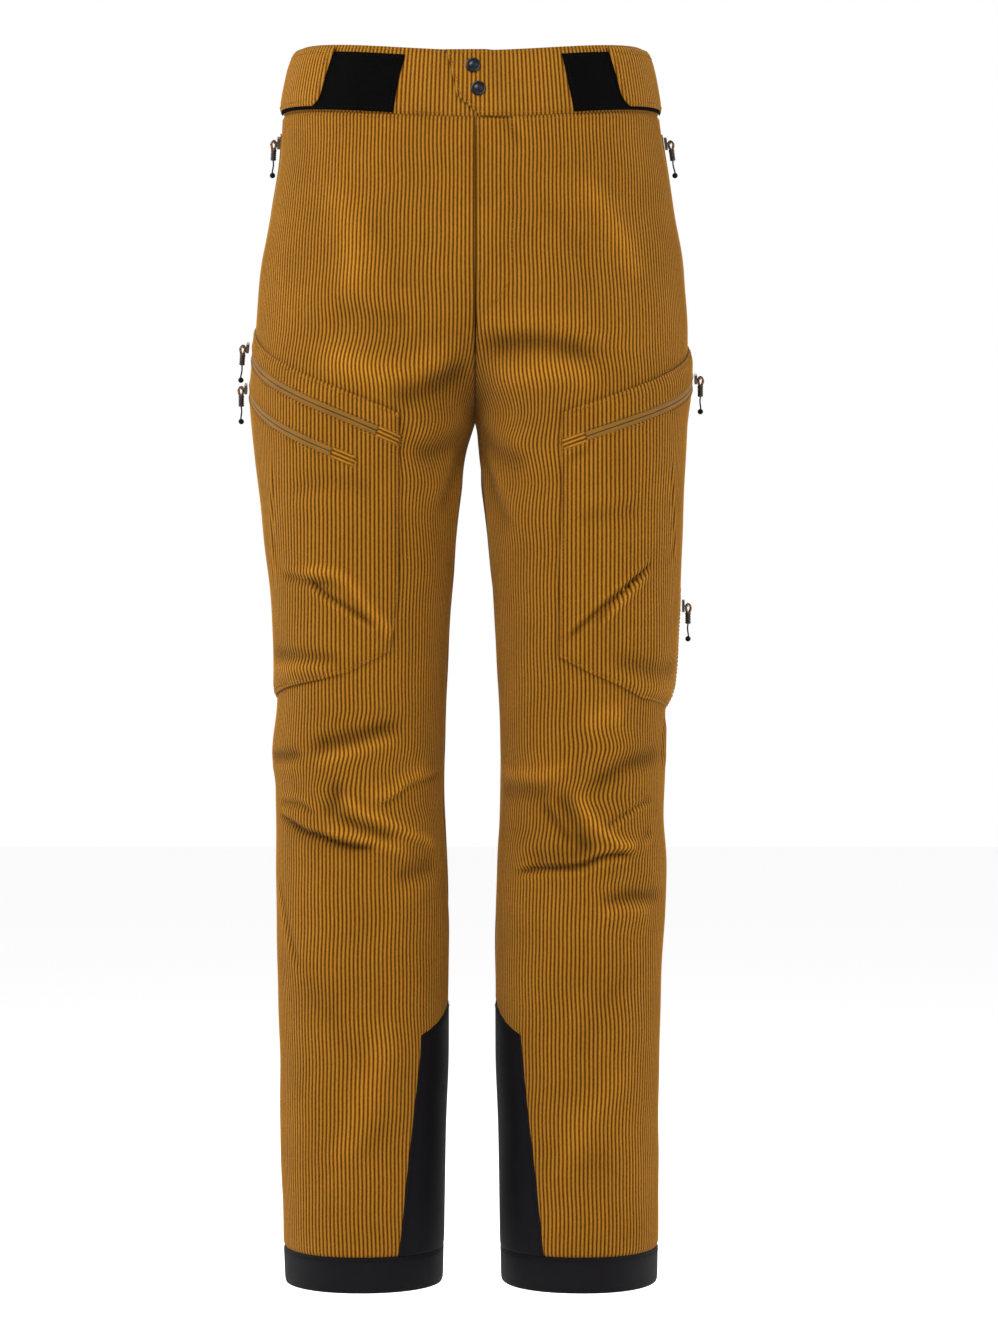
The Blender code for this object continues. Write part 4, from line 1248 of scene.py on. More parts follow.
@dataclass
class Waistband:
    """The waistband: two fronts, the left one lapped over the right, and a back."""

    finishes: Finishes
    thickness: float = 0.0022
    lap_past: float = 0.020
    lap_lift: float = 0.0034
    lap_ramp: tuple[float, float] = (0.022, 0.010)
    lap_under: float = 0.004
    lap_corner: float = 0.017
    edge_sink: float = 0.0009
    stitch_inset: float = 0.0030

    def centre(self, side: Side) -> float:
        """s of the centre front at the waistband's middle."""
        front, _ = FORMS[side].lengths(np.array(-SIZES.waistband / 2 - SIZES.front_dip / 2))
        return float(front)

    def end(self, side: Side) -> float:
        """s of the front end of a front piece."""
        return self.centre(side) + (self.lap_past if side is Side.LEFT else self.lap_under)

    def lift(self, side: Side, s: Array) -> Array:
        """How far the lap stands off what is under it."""
        if side is Side.RIGHT:
            return np.zeros(np.shape(s))
        ramp_start, ramp_end = (self.centre(side) - back for back in self.lap_ramp)
        return self.lap_lift * ease((s - ramp_start) / (ramp_end - ramp_start))

    def base(self, side: Side, s: Array) -> Array:
        """The height of the lower edge over the waistband's base, with the lap's cut corner."""
        if side is Side.RIGHT:
            return np.zeros(np.shape(s))
        corner = self.centre(side) + self.lap_under
        return self.lap_corner * np.clip((s - corner) / (self.lap_past - self.lap_under), 0, 1)

    @staticmethod
    def pucker(s: Array, up: Array) -> Array:
        """Slight waves of a stitched band, in metres."""
        wave = np.sin(115 * s + 1.3 * np.sin(60 * up)) + 0.6 * np.sin(210 * s + 35 * up + 1.1)
        return 0.00022 * wave * np.sin(np.pi * np.clip(up / SIZES.waistband, 0, 1))

    def height(self, side: Side, s: Array, z: Array) -> Array:
        """The height of the band's face over the form, without its ribs."""
        return self.lift(side, s) + self.pucker(s, z - FORMS[side].waist_shift(s) + SIZES.waistband)

    def skin(self, side: Side) -> Skin:
        """The face of one side of the band."""
        return Skin(side, lambda s, z: self.height(side, s, z))

    def place(self, side: Side, s: Array, up: Array) -> tuple[Array, Array]:
        """(s, z) of a place on the band, given how far up from its base it is."""
        return s, FORMS[side].waist_shift(s) - SIZES.waistband + up

    def faces(self, side: Side, s: Array, up: Array, to_edge: Array, ribs: Array) -> tuple[Array, Array, Array]:
        """Outer, inner and plain points of a stretch of band."""
        s, z = self.place(side, s, up)
        height = self.height(side, s, z)
        outer = height + ribs * (0.2 + 0.8 * ease(to_edge / 0.0025))
        outer -= self.edge_sink * bell(to_edge, 0.0018)
        outer -= 0.0004 * bell(to_edge - self.stitch_inset, 0.0009)
        points, normals = FORMS[side].at(s, z)
        inner = height - self.thickness + 0.0004 * bell(to_edge, 0.0018)
        return *walled(points, normals, outer, inner), points

    def declare(self, obj: bpy.types.Object, length: float, area: float, node: str) -> bpy.types.Object:
        """Attaches a band piece to the body and hides the imported node it stands for."""
        return sewn(obj, "corduroy_trim", node, flat=(round(length + 0.002, 3), SIZES.waistband + 0.001),
                    held="hung", area=round(area, 5))

    def front(self, side: Side) -> bpy.types.Object:
        """One front piece, from the outseam to its front end."""
        form, end = FORMS[side], self.end(side)
        share = edge_rows(SIZES.waistband, 0.0042) / SIZES.waistband
        places, ribs = WALES.lines(-1, end / WALES.pitch + 2)
        s = np.repeat(places[None, :] * WALES.pitch, len(share), 0)
        middle, _ = form.lengths(np.array(-SIZES.waistband / 2))
        for _ in range(3):
            base = self.base(side, s)
            up = base + share[:, None] * (SIZES.waistband - base)
            length, _ = form.lengths(self.place(side, s, up)[1])
            lines = places * WALES.pitch * (length / middle)
            s, first, last = clamp_lines(lines, np.full(lines.shape, 0.00005), np.full(lines.shape, end), 0.0003)
            s = np.clip(s, 0.00005, end)
        base = self.base(side, s)
        up = base + share[:, None] * (SIZES.waistband - base)
        to_edge = np.minimum.reduce([s, end - s, up - base, SIZES.waistband - up])
        outer, inner, plain = self.faces(side, s, up, to_edge, ribs)
        uv = np.stack([np.repeat(places[None, :], len(share), 0), up / WALES.pitch], -1)
        # Painted shade along the band's edges.
        nap = -0.3 * bell(to_edge, 0.0014)
        sheet = ribbed_sheet(outer, inner, first, last, uv, nap)
        obj = sheet.object(f"band_front_{side.word}", self.finishes.band)
        return self.declare(obj, end, flat_area(plain, first, last), f"waistband_front_{side.word}")

    def back(self) -> bpy.types.Object:
        """The back piece, from outseam to outseam."""
        up_rows = edge_rows(SIZES.waistband, 0.0042)
        lengths = {side: float(FORMS[side].lengths(np.array(-SIZES.waistband / 2))[1]) for side in Side}
        places, ribs = WALES.lines(-lengths[Side.RIGHT] / WALES.pitch - 1, lengths[Side.LEFT] / WALES.pitch + 1)
        halves = []
        for side in (Side.RIGHT, Side.LEFT):
            own = places < 0 if side is Side.RIGHT else places >= 0
            away = np.abs(places[own])[None, :] * WALES.pitch
            up = np.repeat(up_rows[:, None], int(own.sum()), 1)
            s = away - lengths[side]
            for _ in range(3):
                _, back = FORMS[side].lengths(self.place(side, s, up)[1])
                s = np.minimum(away * back / lengths[side] - back, -0.00005)
            to_edge = np.minimum.reduce([-s, up, SIZES.waistband - up])
            halves.append([*self.faces(side, s, up, to_edge, ribs[own]), to_edge, s])
        outer, inner, plain, to_edge, s = (np.concatenate(pair, 1) for pair in zip(*halves))
        ended = s > -0.0001
        right_end = (ended & (places < 0)).sum(1)
        left_end = (ended & (places >= 0)).sum(1)
        first, last = np.maximum(right_end - 1, 0), len(places) - np.maximum(left_end, 1)
        uv = np.stack(np.broadcast_arrays(places[None, :], up_rows[:, None] / WALES.pitch), -1)
        # Painted shade along the band's edges.
        nap = -0.3 * bell(to_edge, 0.0014)
        sheet = ribbed_sheet(outer, inner, first, last, uv, nap)
        obj = sheet.object("band_back", self.finishes.band)
        return self.declare(obj, sum(lengths.values()), flat_area(plain, first, last), "waistband_back")

    def build(self) -> None:
        """Builds the three pieces."""
        for side in Side:
            self.front(side)
        self.back()


@dataclass
class WaistClosures:
    """On each side a hook-and-loop patch, and the corduroy tab that closes over it."""

    finishes: Finishes
    band: Waistband
    patch_front: dict[Side, float] = field(default_factory=lambda: {Side.RIGHT: 0.157, Side.LEFT: 0.135})
    patch_back: float = 0.008
    patch_span: tuple[float, float] = (0.001, 0.0497)
    patch_lift: float = 0.0019
    patch_thickness: float = 0.0012
    tab_back: float = -0.012
    tab_front: float = 0.090
    tab_span: tuple[float, float] = (0.0036, 0.0530)
    tab_lift: float = 0.0037
    tab_thickness: float = 0.0013

    def tab_edge(self, up: Array) -> Array:
        """s of the tab's front edge, which slants and rounds off at the bottom."""
        share = (up - self.tab_span[0]) / (self.tab_span[1] - self.tab_span[0])
        return self.tab_front - 0.005 * (1 - share) - 0.006 * (1 - ease(share / 0.2)) ** 2

    def patch(self, side: Side) -> bpy.types.Object:
        """The black loop patch."""
        length = self.patch_front[side] - self.patch_back
        low, high = self.patch_span
        s_line = self.patch_back + edge_rows(length, 0.0022)
        up_line = low + edge_rows(high - low, 0.0022)
        s, up = np.meshgrid(s_line, up_line)
        s, z = self.band.place(side, s, up)
        points, normals = FORMS[side].at(s, z)
        to_edge = np.minimum.reduce([s - s_line[0], s_line[-1] - s, up - low, high - up])
        base = self.band.height(side, s, z)
        fuzz = 0.00012 * (np.sin(2100 * s + 900 * up) * np.sin(1700 * up - 700 * s))
        outer = base + self.patch_lift + fuzz - 0.0005 * bell(to_edge, 0.0012)
        outer -= 0.0004 * bell(to_edge - 0.0026, 0.0009)
        inner = base + self.patch_lift - self.patch_thickness
        sheet = plain_sheet(*walled(points, normals, outer, inner),
                            np.stack([s, z], -1))
        obj = sheet.object(f"loops_{side.word}", self.finishes.loops)
        return sewn(obj, "loop_fabric", f"loop_patch_{side.word}", flat=(round(length, 3), round(high - low, 3)),
                    held="stretched", rests_on=[f"band_front_{side.word}"])

    def tab(self, side: Side) -> bpy.types.Object:
        """The adjuster tab, whose ribs run up and down."""
        low, high = self.tab_span
        up_line = low + edge_rows(high - low, 0.0036)
        places, ribs = WALES.lines(self.tab_back / WALES.pitch, self.tab_front / WALES.pitch + 1)
        up = np.repeat(up_line[:, None], len(places), 1)
        lean = 1 - 0.9 * (up - 0.028)
        lines = places * WALES.pitch * lean
        edge = self.tab_edge(up)
        s, first, last = clamp_lines(lines, np.full(lines.shape, self.tab_back), edge, 0.0003)
        s = np.clip(s, self.tab_back, edge)
        _, z = self.band.place(side, s, up)
        points, normals = FORMS[side].at(s, z)
        to_edge = np.minimum.reduce([s - self.tab_back, edge - s, up - low, high - up])
        base = self.tab_lift + 0.5 * self.band.pucker(s, up)
        outer = base + ribs * 0.8 * ease(to_edge / 0.0045) - 0.0008 * bell(to_edge, 0.0016)
        outer -= 0.0004 * bell(to_edge - 0.0040, 0.0009)
        inner = base - self.tab_thickness
        uv = np.stack([s / (WALES.pitch * lean), up / WALES.pitch], -1)
        # Painted shading: 0.1 lighter all over, with painted shade along the tab's edges.
        nap = 0.10 - 0.3 * bell(to_edge, 0.0012)
        sheet = ribbed_sheet(*walled(points, normals, outer, inner), first, last, uv, nap)
        obj = sheet.object(f"tab_{side.word}", self.finishes.band)
        flat = (round(self.tab_front - self.tab_back, 3), round(high - low, 3))
        return sewn(obj, "corduroy_trim", f"adjuster_tab_{side.word}", flat=flat, held="stretched",
                    area=round(flat_area(points, first, last), 5), rests_on=[f"loops_{side.word}"])

    def build(self) -> None:
        """Builds both sides."""
        for side in Side:
            self.patch(side)
            self.tab(side)


@dataclass(frozen=True)
class ZipLine:
    """A zip between two places (s, z): its slider is near the start."""

    name: str
    side: Side
    start: tuple[float, float]
    end: tuple[float, float]
    on_pocket: bool = True
    tabbed: bool = True

    @property
    def length(self) -> float:
        """The length in metres."""
        return math.hypot(self.end[0] - self.start[0], self.end[1] - self.start[1])

    def along_off(self, s: Array, z: Array) -> tuple[Array, Array]:
        """How far along the zip and how far off its middle line a place is."""
        run = (np.array(self.end) - self.start) / self.length
        ds, dz = s - self.start[0], z - self.start[1]
        return ds * run[0] + dz * run[1], dz * run[0] - ds * run[1]

    def place(self, along_it: Array, off: Array) -> tuple[Array, Array]:
        """(s, z) of a place along and off the zip."""
        run = (np.array(self.end) - self.start) / self.length
        return self.start[0] + along_it * run[0] - off * run[1], self.start[1] + along_it * run[1] + off * run[0]


ZIP_LINES = (
    ZipLine("cargo_right_upper", Side.RIGHT, (-0.004, -0.252), (0.173, -0.3335)),
    ZipLine("cargo_right_lower", Side.RIGHT, (-0.004, -0.287), (0.133, -0.3510)),
    ZipLine("cargo_left_upper", Side.LEFT, (-0.004, -0.279), (0.153, -0.3385)),
    ZipLine("cargo_left_side", Side.LEFT, (0.006, -0.470), (0.006, -0.556), tabbed=False),
    ZipLine("hand_right", Side.RIGHT, (0.004, -0.070), (-0.016, -0.215), on_pocket=False, tabbed=False),
    ZipLine("hand_left", Side.LEFT, (0.004, -0.071), (-0.016, -0.215), on_pocket=False, tabbed=False),
)


def pocket_zips(side: Side) -> list[ZipLine]:
    """The zips on the cargo pocket of a side."""
    return [line for line in ZIP_LINES if line.side is side and line.on_pocket]


@dataclass
class CargoPockets:
    """The cargo pockets, which wrap round the outseams."""

    finishes: Finishes
    lift: float = 0.0030
    edge_lift: float = 0.0018
    thickness: float = 0.0014
    zip_sink: float = 0.0011
    zip_half: float = 0.0040
    lip: float = 0.0006
    tab_length: float = 0.020
    flat: tuple[float, float] = (0.262, 0.318)

    def height(self, side: Side, s: Array, z: Array) -> Array:
        """The height of the pocket's face over the form, without its ribs."""
        to_edge = np.maximum(CARGO.inside(side, s, z), 0)
        rise, _ = creased(POCKET_CREASES[side], s, z)
        rise = rise * ease(to_edge / 0.006 + 0.2)
        rise = rise + self.edge_lift + (self.lift - self.edge_lift) * ease(to_edge / 0.009)
        rise = rise + 1.3 * ripple(s, z, 1.9 + side.value) * ease(to_edge / 0.010)
        for line in pocket_zips(side):
            run, off = line.along_off(s, z)
            past = self.tab_length if line.tabbed else 0.0
            beyond = np.maximum(np.maximum(-run, run - line.length - past), 0)
            off = np.hypot(off, beyond)
            rise = rise - self.zip_sink * (1 - ease((off - self.zip_half + 0.0008) / 0.0014))
            rise = rise + self.lip * bell(off - self.zip_half - 0.0016, 0.0012)
        return rise

    def skin(self, side: Side) -> Skin:
        """The face of a pocket."""
        return Skin(side, lambda s, z: self.height(side, s, z))

    def rows(self, side: Side) -> Array:
        """Shares of the height of the pocket's rows, from the bottom; closer together at the zips."""
        tall = 0.285
        down, places = 0.0, [0.0, 0.0008, 0.0016, 0.0026, 0.0042]
        low, high = (0.010, 0.060) if side is Side.RIGHT else (0.018, 0.038)
        down = places[-1]
        while down < tall - 0.0075:
            down += 0.0013 if low < down < high else 0.0032
            places.append(down)
        places += [tall - step for step in (0.0042, 0.0026, 0.0016, 0.0008, 0.0)]
        return 1.0 - np.array(places)[::-1] / tall

    def pocket(self, side: Side) -> bpy.types.Object:
        form, shares = FORMS[side], self.rows(side)[:, None]
        grain = form.grain(Facing.FRONT, np.array(-0.42))
        places, ribs = WALES.lines(float((CARGO.back - grain) / WALES.pitch) - 2,
                                   float((0.2 - grain) / WALES.pitch) + 4)
        s = np.clip(np.repeat((grain + places * WALES.pitch)[None, :], len(shares), 0), CARGO.back, 0.19)
        for _ in range(8):
            low, high = straight(CARGO.bottom[side], s), straight(CARGO.top[side], s)
            z = low + shares * (high - low)
            lines = form.grain(Facing.FRONT, z) + places * WALES.pitch
            edge = straight(CARGO.front[side], z)
            s = np.clip(lines, CARGO.back, edge)
        first = np.maximum((lines < CARGO.back + 0.0003).sum(1) - 1, 0)
        last = len(places) - np.maximum((lines > edge - 0.0003).sum(1), 1)
        to_edge = np.maximum(np.minimum.reduce([
            s - CARGO.back, edge - s, 0.92 * (z - low), 0.92 * (high - z)]), 0)
        height = self.height(side, s, z)
        outer = height + ribs * (0.15 + 0.85 * ease(to_edge / 0.0035))
        outer -= 0.0007 * bell(to_edge, 0.0014)
        outer -= 0.0004 * bell(to_edge - 0.0026, 0.0009)
        points, normals = form.at(s, z)
        inner = height - self.thickness
        _, shade = creased(POCKET_CREASES[side], s, z)
        uv = np.stack([(s - form.grain(Facing.FRONT, z)) / WALES.pitch, z / WALES.pitch], -1)
        # Painted shading: the creases' painted shade and light, painted shade at the pocket's very edge and a
        # lighter line just inside it on the raised edge.
        nap = shade - 0.35 * bell(to_edge, 0.0009) + 0.28 * bell(to_edge - 0.0017, 0.0007)
        # Painted shade along both sides of each zip.
        for line in pocket_zips(side):
            run, off = line.along_off(s, z)
            beside = bell(np.abs(off) - self.zip_half - 0.0004, 0.0008)
            nap -= 0.5 * beside * (run > 0) * (run < line.length)
        sheet = ribbed_sheet(*walled(points, normals, outer, inner), first, last, uv, nap)
        obj = sheet.object(f"pocket_{side.word}", self.finishes.corduroy)
        return sewn(obj, "corduroy", f"cargo_pocket_{side.word}", flat=self.flat, held="hung",
                    area=round(flat_area(points, first, last), 5), rests_on=leg_panels(side))

    def build(self) -> None:
        """Builds both pockets."""
        for side in Side:
            self.pocket(side)


@dataclass
class ShellTrim:
    """The black hem bands and the scuff guards on the inner shins."""

    finishes: Finishes
    panels: LegPanels
    band_lift: float = 0.0002
    guard_lift: float = 0.0007
    band_thickness: float = 0.0016
    guard_thickness: float = 0.0013
    fold: float = 0.0007

    def height(self, side: Side, s: Array, z: Array) -> Array:
        """The height of the leg's cloth under the trim, without what it makes room for."""
        front, back = FORMS[side].lengths(z)
        s = np.where(s > front, s - front - back, s)
        rise, _ = creased(LEG_CREASES[side], s, z)
        near = np.minimum(front - s, s + back)
        return rise * ease(near / 0.014 + 0.25) + ripple(s, z, 0.7 * side.value) * ease(near / 0.030)

    def skin(self, side: Side, lift: float) -> Skin:
        """The face of the trim on one leg."""
        return Skin(side, lambda s, z: self.height(side, s, z) + lift)

    def sheet(self, name: str, side: Side, s: Array, z: Array, to_edge: Array, lift: float,
              thickness: float) -> tuple[bpy.types.Object, float]:
        """A piece of shell fabric laid on a leg.

        Args:
            name: The piece's name.
            side: Its side.
            s: Places round the leg, by row and column.
            z: Heights.
            to_edge: Distances from the piece's edges.
            lift: Its height over the leg.
            thickness: Its thickness.

        Returns:
            The piece and its flat area.
        """
        points, normals = FORMS[side].at(s, z)
        height = self.height(side, s, z) + lift
        outer = height - self.fold * bell(to_edge, 0.0013)
        outer -= 0.0003 * bell(to_edge - 0.0028, 0.0009)
        sheet = plain_sheet(*walled(points, normals, outer, height - thickness), np.stack([s, z], -1))
        rows, columns = s.shape
        area = flat_area(points, np.zeros(rows, int), np.full(rows, columns - 1))
        return sheet.object(name, self.finishes.shell), area

    def hem(self, side: Side) -> bpy.types.Object:
        """The band round one hem, its ends meeting at the inseam."""
        z_line = SIZES.hem + edge_rows(SIZES.hem_band, 0.0030)
        share = np.linspace(0, 1, 121)[None, :]
        z = np.repeat(z_line[:, None], share.shape[1], 1)
        front, back = FORMS[side].lengths(z)
        s = -back + 0.0001 + share * (front + back - 0.0002)
        to_edge = np.minimum(z - z_line[0], z_line[-1] - z)
        obj, area = self.sheet(f"hem_{side.word}", side, s, z, to_edge, self.band_lift, self.band_thickness)
        flat = (round(float((front + back).max()), 3), SIZES.hem_band)
        return sewn(obj, "shell_fabric", f"hem_band_{side.word}", flat=flat, held="hung", area=round(area, 5),
                    rests_on=leg_panels(side))

    def guard(self, side: Side) -> bpy.types.Object:
        """The tall patch over the inseam."""
        across = np.concatenate([-1 + np.array([0.0, 0.012, 0.026, 0.044]), np.linspace(-0.93, 0.93, 41),
                                 1 - np.array([0.044, 0.026, 0.012, 0.0])])[None, :]
        tall = 0.205
        up = (edge_rows(tall, 0.0050) / tall)[:, None]
        top = GUARD.top(across)
        z = GUARD.low[0] + up * (top - GUARD.low[0])
        half = GUARD.half(z)
        front, _ = FORMS[side].lengths(z)
        s = front - across * half
        to_edge = np.minimum.reduce([(1 - np.abs(across)) * half, 0.9 * (top - z), z - GUARD.low[0]])
        obj, area = self.sheet(f"guard_{side.word}", side, s, z, to_edge, self.guard_lift, self.guard_thickness)
        flat = (2 * GUARD.low[1], round(GUARD.peak - GUARD.low[0], 3))
        return sewn(obj, "shell_fabric", f"scuff_guard_{side.word}", flat=flat, held="stretched",
                    area=round(area, 5), rests_on=leg_panels(side))

    def build(self) -> None:
        """Builds the trim of both legs."""
        for side in Side:
            self.hem(side)
            self.guard(side)


@dataclass
class Zips:
    """Coil zips on woven tapes, and the corduroy tabs over their front ends."""

    finishes: Finishes
    panels: LegPanels
    pockets: CargoPockets
    half: float = 0.0040
    lift: float = 0.0006
    dome: float = 0.0007
    groove: float = 0.0006
    tab_half: float = 0.0060

    def skin(self, line: ZipLine) -> Skin:
        """What a zip lies on."""
        return self.pockets.skin(line.side) if line.on_pocket else self.panels.skin(line.side)

    def tape(self, line: ZipLine) -> bpy.types.Object:
        """The two halves of a zip's tape, with the closed coil's groove between them."""
        offs = np.array([-4.0, -3.6, -3.0, -2.2, -1.4, -0.8, -0.45, -0.2, 0.0, 0.2, 0.45, 0.8, 1.4, 2.2, 3.0, 3.6,
                         4.0]) * MM
        runs = np.linspace(0, line.length, round(line.length / 0.0016) + 1)
        run, off = np.meshgrid(runs, offs)
        s, z = line.place(run, off)
        points, normals = FORMS[line.side].at(s, z)
        middle_s, middle_z = line.place(runs, 0 * runs)
        base = self.skin(line).height(middle_s, middle_z)[None, :]
        profile = self.lift + self.dome * (1 - (np.abs(off) / self.half) ** 3)
        profile -= self.groove * bell(off, 0.00035)
        ribs = 0.00006 * np.cos(run / 0.0016 * math.pi) * (np.abs(off) < 0.0021)
        outer = base + 0.0004 + profile + ribs
        inner = base + 0.0004 - 0.0002 + 0 * off
        # Painted shade in the groove between the two halves.
        nap = -0.9 * bell(off, 0.0004)
        sheet = plain_sheet(*walled(points, normals, outer, inner),
                            np.stack([run, off], -1), nap)
        under = f"pocket_{line.side.word}" if line.on_pocket else f"front_panel_{line.side.word}"
        return sewn(sheet.object(f"tape_{line.name}", self.finishes.tape), "zip_tape", f"zip_{line.name}",
                    flat=(round(line.length, 3), 0.010), held="stretched", rests_on=[under],
                    area=round(2 * self.half * line.length, 6))

    def end_tab(self, line: ZipLine) -> bpy.types.Object:
        """The corduroy tab over a zip's front end, its ribs running along the zip."""
        ribs_across = 2 * self.tab_half / WALES.pitch
        places = np.linspace(-ribs_across / 2, ribs_across / 2, 29)
        length = self.pockets.tab_length - 0.0004
        runs = line.length + 0.0002 + edge_rows(length, 0.0020, (0.0006, 0.0012, 0.0020))
        run, rib = np.meshgrid(runs, places)
        off = rib * WALES.pitch
        s, z = line.place(run, off)
        points, normals = FORMS[line.side].at(s, z)
        skin = self.pockets.skin(line.side)
        to_edge = np.minimum.reduce([self.tab_half - np.abs(off), run - runs[0], runs[-1] - run])
        ribbing = WALES.height * 0.8 * (0.5 - 0.5 * np.cos(math.tau * (rib + 0.5))) ** 0.7
        base = skin.height(*line.place(runs, 0 * runs))[None, :] + 0.0010
        outer = base + 0.0005 + ribbing * ease(to_edge / 0.002) - 0.0007 * bell(to_edge, 0.0012)
        inner = base - 0.0004 + 0 * off
        # Painted shade along the tab's edges.
        nap = -0.35 * bell(to_edge, 0.0012)
        sheet = plain_sheet(*walled(points, normals, outer, inner),
                            np.stack([rib + 0.5, run / WALES.pitch], -1), nap)
        return sewn(sheet.object(f"end_tab_{line.name}", self.finishes.band), "corduroy_trim",
                    f"zip_end_{line.name}", flat=(round(length, 3), 2 * self.tab_half), held="stretched",
                    rests_on=[f"pocket_{line.side.word}"])

    def build(self) -> None:
        """Builds every zip."""
        for line in ZIP_LINES:
            self.tape(line)
            if line.tabbed:
                self.end_tab(line)


# ---------------------------------------------------------------- stitches


@dataclass(frozen=True)
class Stitch:
    """One stitch of lockstitch sewing, and how far apart they are, in metres."""

    length: float = 0.0026
    width: float = 0.00062
    height: float = 0.00056
    spacing: float = 0.0034


def modelled(name: str) -> bpy.types.Object:
    """Names the active object, and gives back its mesh to the world frame."""
    obj = bpy.context.object
    if obj.mode != "OBJECT":
        bpy.ops.object.mode_set(mode="OBJECT")
    obj.name = obj.data.name = name
    obj.data.transform(obj.matrix_basis)
    obj.matrix_basis = Matrix.Identity(4)
    return obj


@dataclass
class Stitching:
    """Rows of stitches, joined into one mesh for each piece they hold."""

    finishes: Finishes
    panels: LegPanels
    band: Waistband
    pockets: CargoPockets
    trim: ShellTrim
    stitch: Stitch = field(default_factory=Stitch)
    inset: float = 0.0027
    zip_off: float = 0.0056

    def __post_init__(self) -> None:
        """Models the one stitch that every row repeats."""
        bpy.ops.object.select_all(action="DESELECT")
        bpy.ops.mesh.primitive_uv_sphere_add(segments=5, ring_count=4, radius=0.5)
        bpy.ops.object.mode_set(mode="EDIT")
        bpy.ops.mesh.select_all(action="SELECT")
        bpy.ops.transform.rotate(value=math.pi / 2, orient_axis="Y", center_override=(0, 0, 0))
        bpy.ops.transform.resize(value=(self.stitch.length, self.stitch.width, self.stitch.height),
                                 center_override=(0, 0, 0))
        one = modelled("stitch")
        self.corners = np.array([v.co for v in one.data.vertices])
        self.faces = [list(face.vertices) for face in one.data.polygons]
        bpy.data.objects.remove(one)

    def row(self, skin: Skin, s: Array, z: Array, lift: float) -> Array:
        """Places stitches along a line on a skin.

        Args:
            skin: The cloth they are sewn on.
            s: Places along the line.
            z: Heights along it.
            lift: How far above the skin they lie.

        Returns:
            For each stitch a 4 by 3 array: its place, and its directions along, across and out.
        """
        run = np.concatenate([[0.0], np.cumsum(np.hypot(np.diff(s), np.diff(z)))])
        fine = np.linspace(0, run[-1], max(3, int(run[-1] / 0.0015)))
        s, z = np.interp(fine, run, s), np.interp(fine, run, z)
        points, normals = skin.at(s, z, lift)
        steps = np.concatenate([[0.0], np.cumsum(np.linalg.norm(np.diff(points, axis=0), axis=1))])
        count = max(1, round(steps[-1] / self.stitch.spacing))
        at = (np.arange(count) + 0.5) * steps[-1] / count
        place = np.stack([np.interp(at, steps, points[:, i]) for i in range(3)], 1)
        out = np.stack([np.interp(at, steps, normals[:, i]) for i in range(3)], 1)
        half = self.stitch.length / 2
        ahead = np.stack([np.interp(at + half, steps, points[:, i]) - np.interp(at - half, steps, points[:, i])
                          for i in range(3)], 1)
        ahead /= np.linalg.norm(ahead, axis=1, keepdims=True)
        across = np.cross(out, ahead)
        across /= np.linalg.norm(across, axis=1, keepdims=True)
        return np.stack([place, ahead, across, np.cross(ahead, across)], 1)

    def sew(self, piece: str, rows: Sequence[Array], black: bool = False) -> None:
        """Joins rows of stitches into the thread of one piece."""
        places = np.concatenate(rows)
        points = places[:, None, 0] + np.einsum("ij,njk->nik", self.corners, places[:, 1:])
        offsets = np.arange(len(places)) * len(self.corners)
        faces = [[v + offset for v in face] for offset in offsets.tolist() for face in self.faces]
        mesh = bpy.data.meshes.new(f"thread_{piece}")
        mesh.from_pydata(points.reshape(-1, 3).tolist(), [], faces)
        mesh.polygons.foreach_set("use_smooth", [True] * len(faces))
        mesh.materials.append(self.finishes.black_thread if black else self.finishes.thread)
        obj = linked(mesh.name, mesh)
        finish_piece(obj, "root")
        report(obj)

    def leg(self, side: Side) -> None:
        """The rows on the front and back panels of one leg."""
        form, skin = FORMS[side], self.panels.skin(side)
        front, back = form.lengths(np.array(-0.066))
        below = -SIZES.waistband - 0.0034
        s = np.linspace(0.002, float(front) - 0.003, 80)
        rows = [self.row(skin, s, form.waist_shift(s) + below, 0.0003)]
        pocket = np.array([(0.050, -0.0630), (0.030, -0.0705), (0.008, -0.0790)])
        rows.append(self.row(skin, pocket[:, 0], pocket[:, 1], 0.0005))
        dart = {Side.RIGHT: [(0.221, -0.622), (0.173, -0.633), (0.143, -0.648)],
                Side.LEFT: [(0.056, -0.640), (0.090, -0.656), (0.104, -0.665)]}[side]
        dart = np.array(dart)
        rows.append(self.row(skin, dart[:, 0], dart[:, 1] + 0.0022, 0.0005))
        if side is Side.LEFT:
            z = np.linspace(self.panels.fly_end + 0.003, -0.076, 120)
            near_end = np.clip((z - self.panels.fly_end) / 0.040, 0, 1)
            width = (self.panels.fly_width - 0.003) * np.sqrt(1 - (1 - near_end) ** 2)
            rows.append(self.row(skin, form.lengths(z)[0] - width, z, 0.0006))
        self.sew(f"front_panel_{side.word}", rows)
        s = np.linspace(-0.002, 0.003 - float(back), 80)
        rows = [self.row(skin, s, form.waist_shift(s) + below, 0.0003)]
        z = np.linspace(-0.300, -0.052, 90)
        rows.append(self.row(skin, 0.0032 - form.lengths(z)[1], z, 0.0005))
        self.sew(f"back_panel_{side.word}", rows)

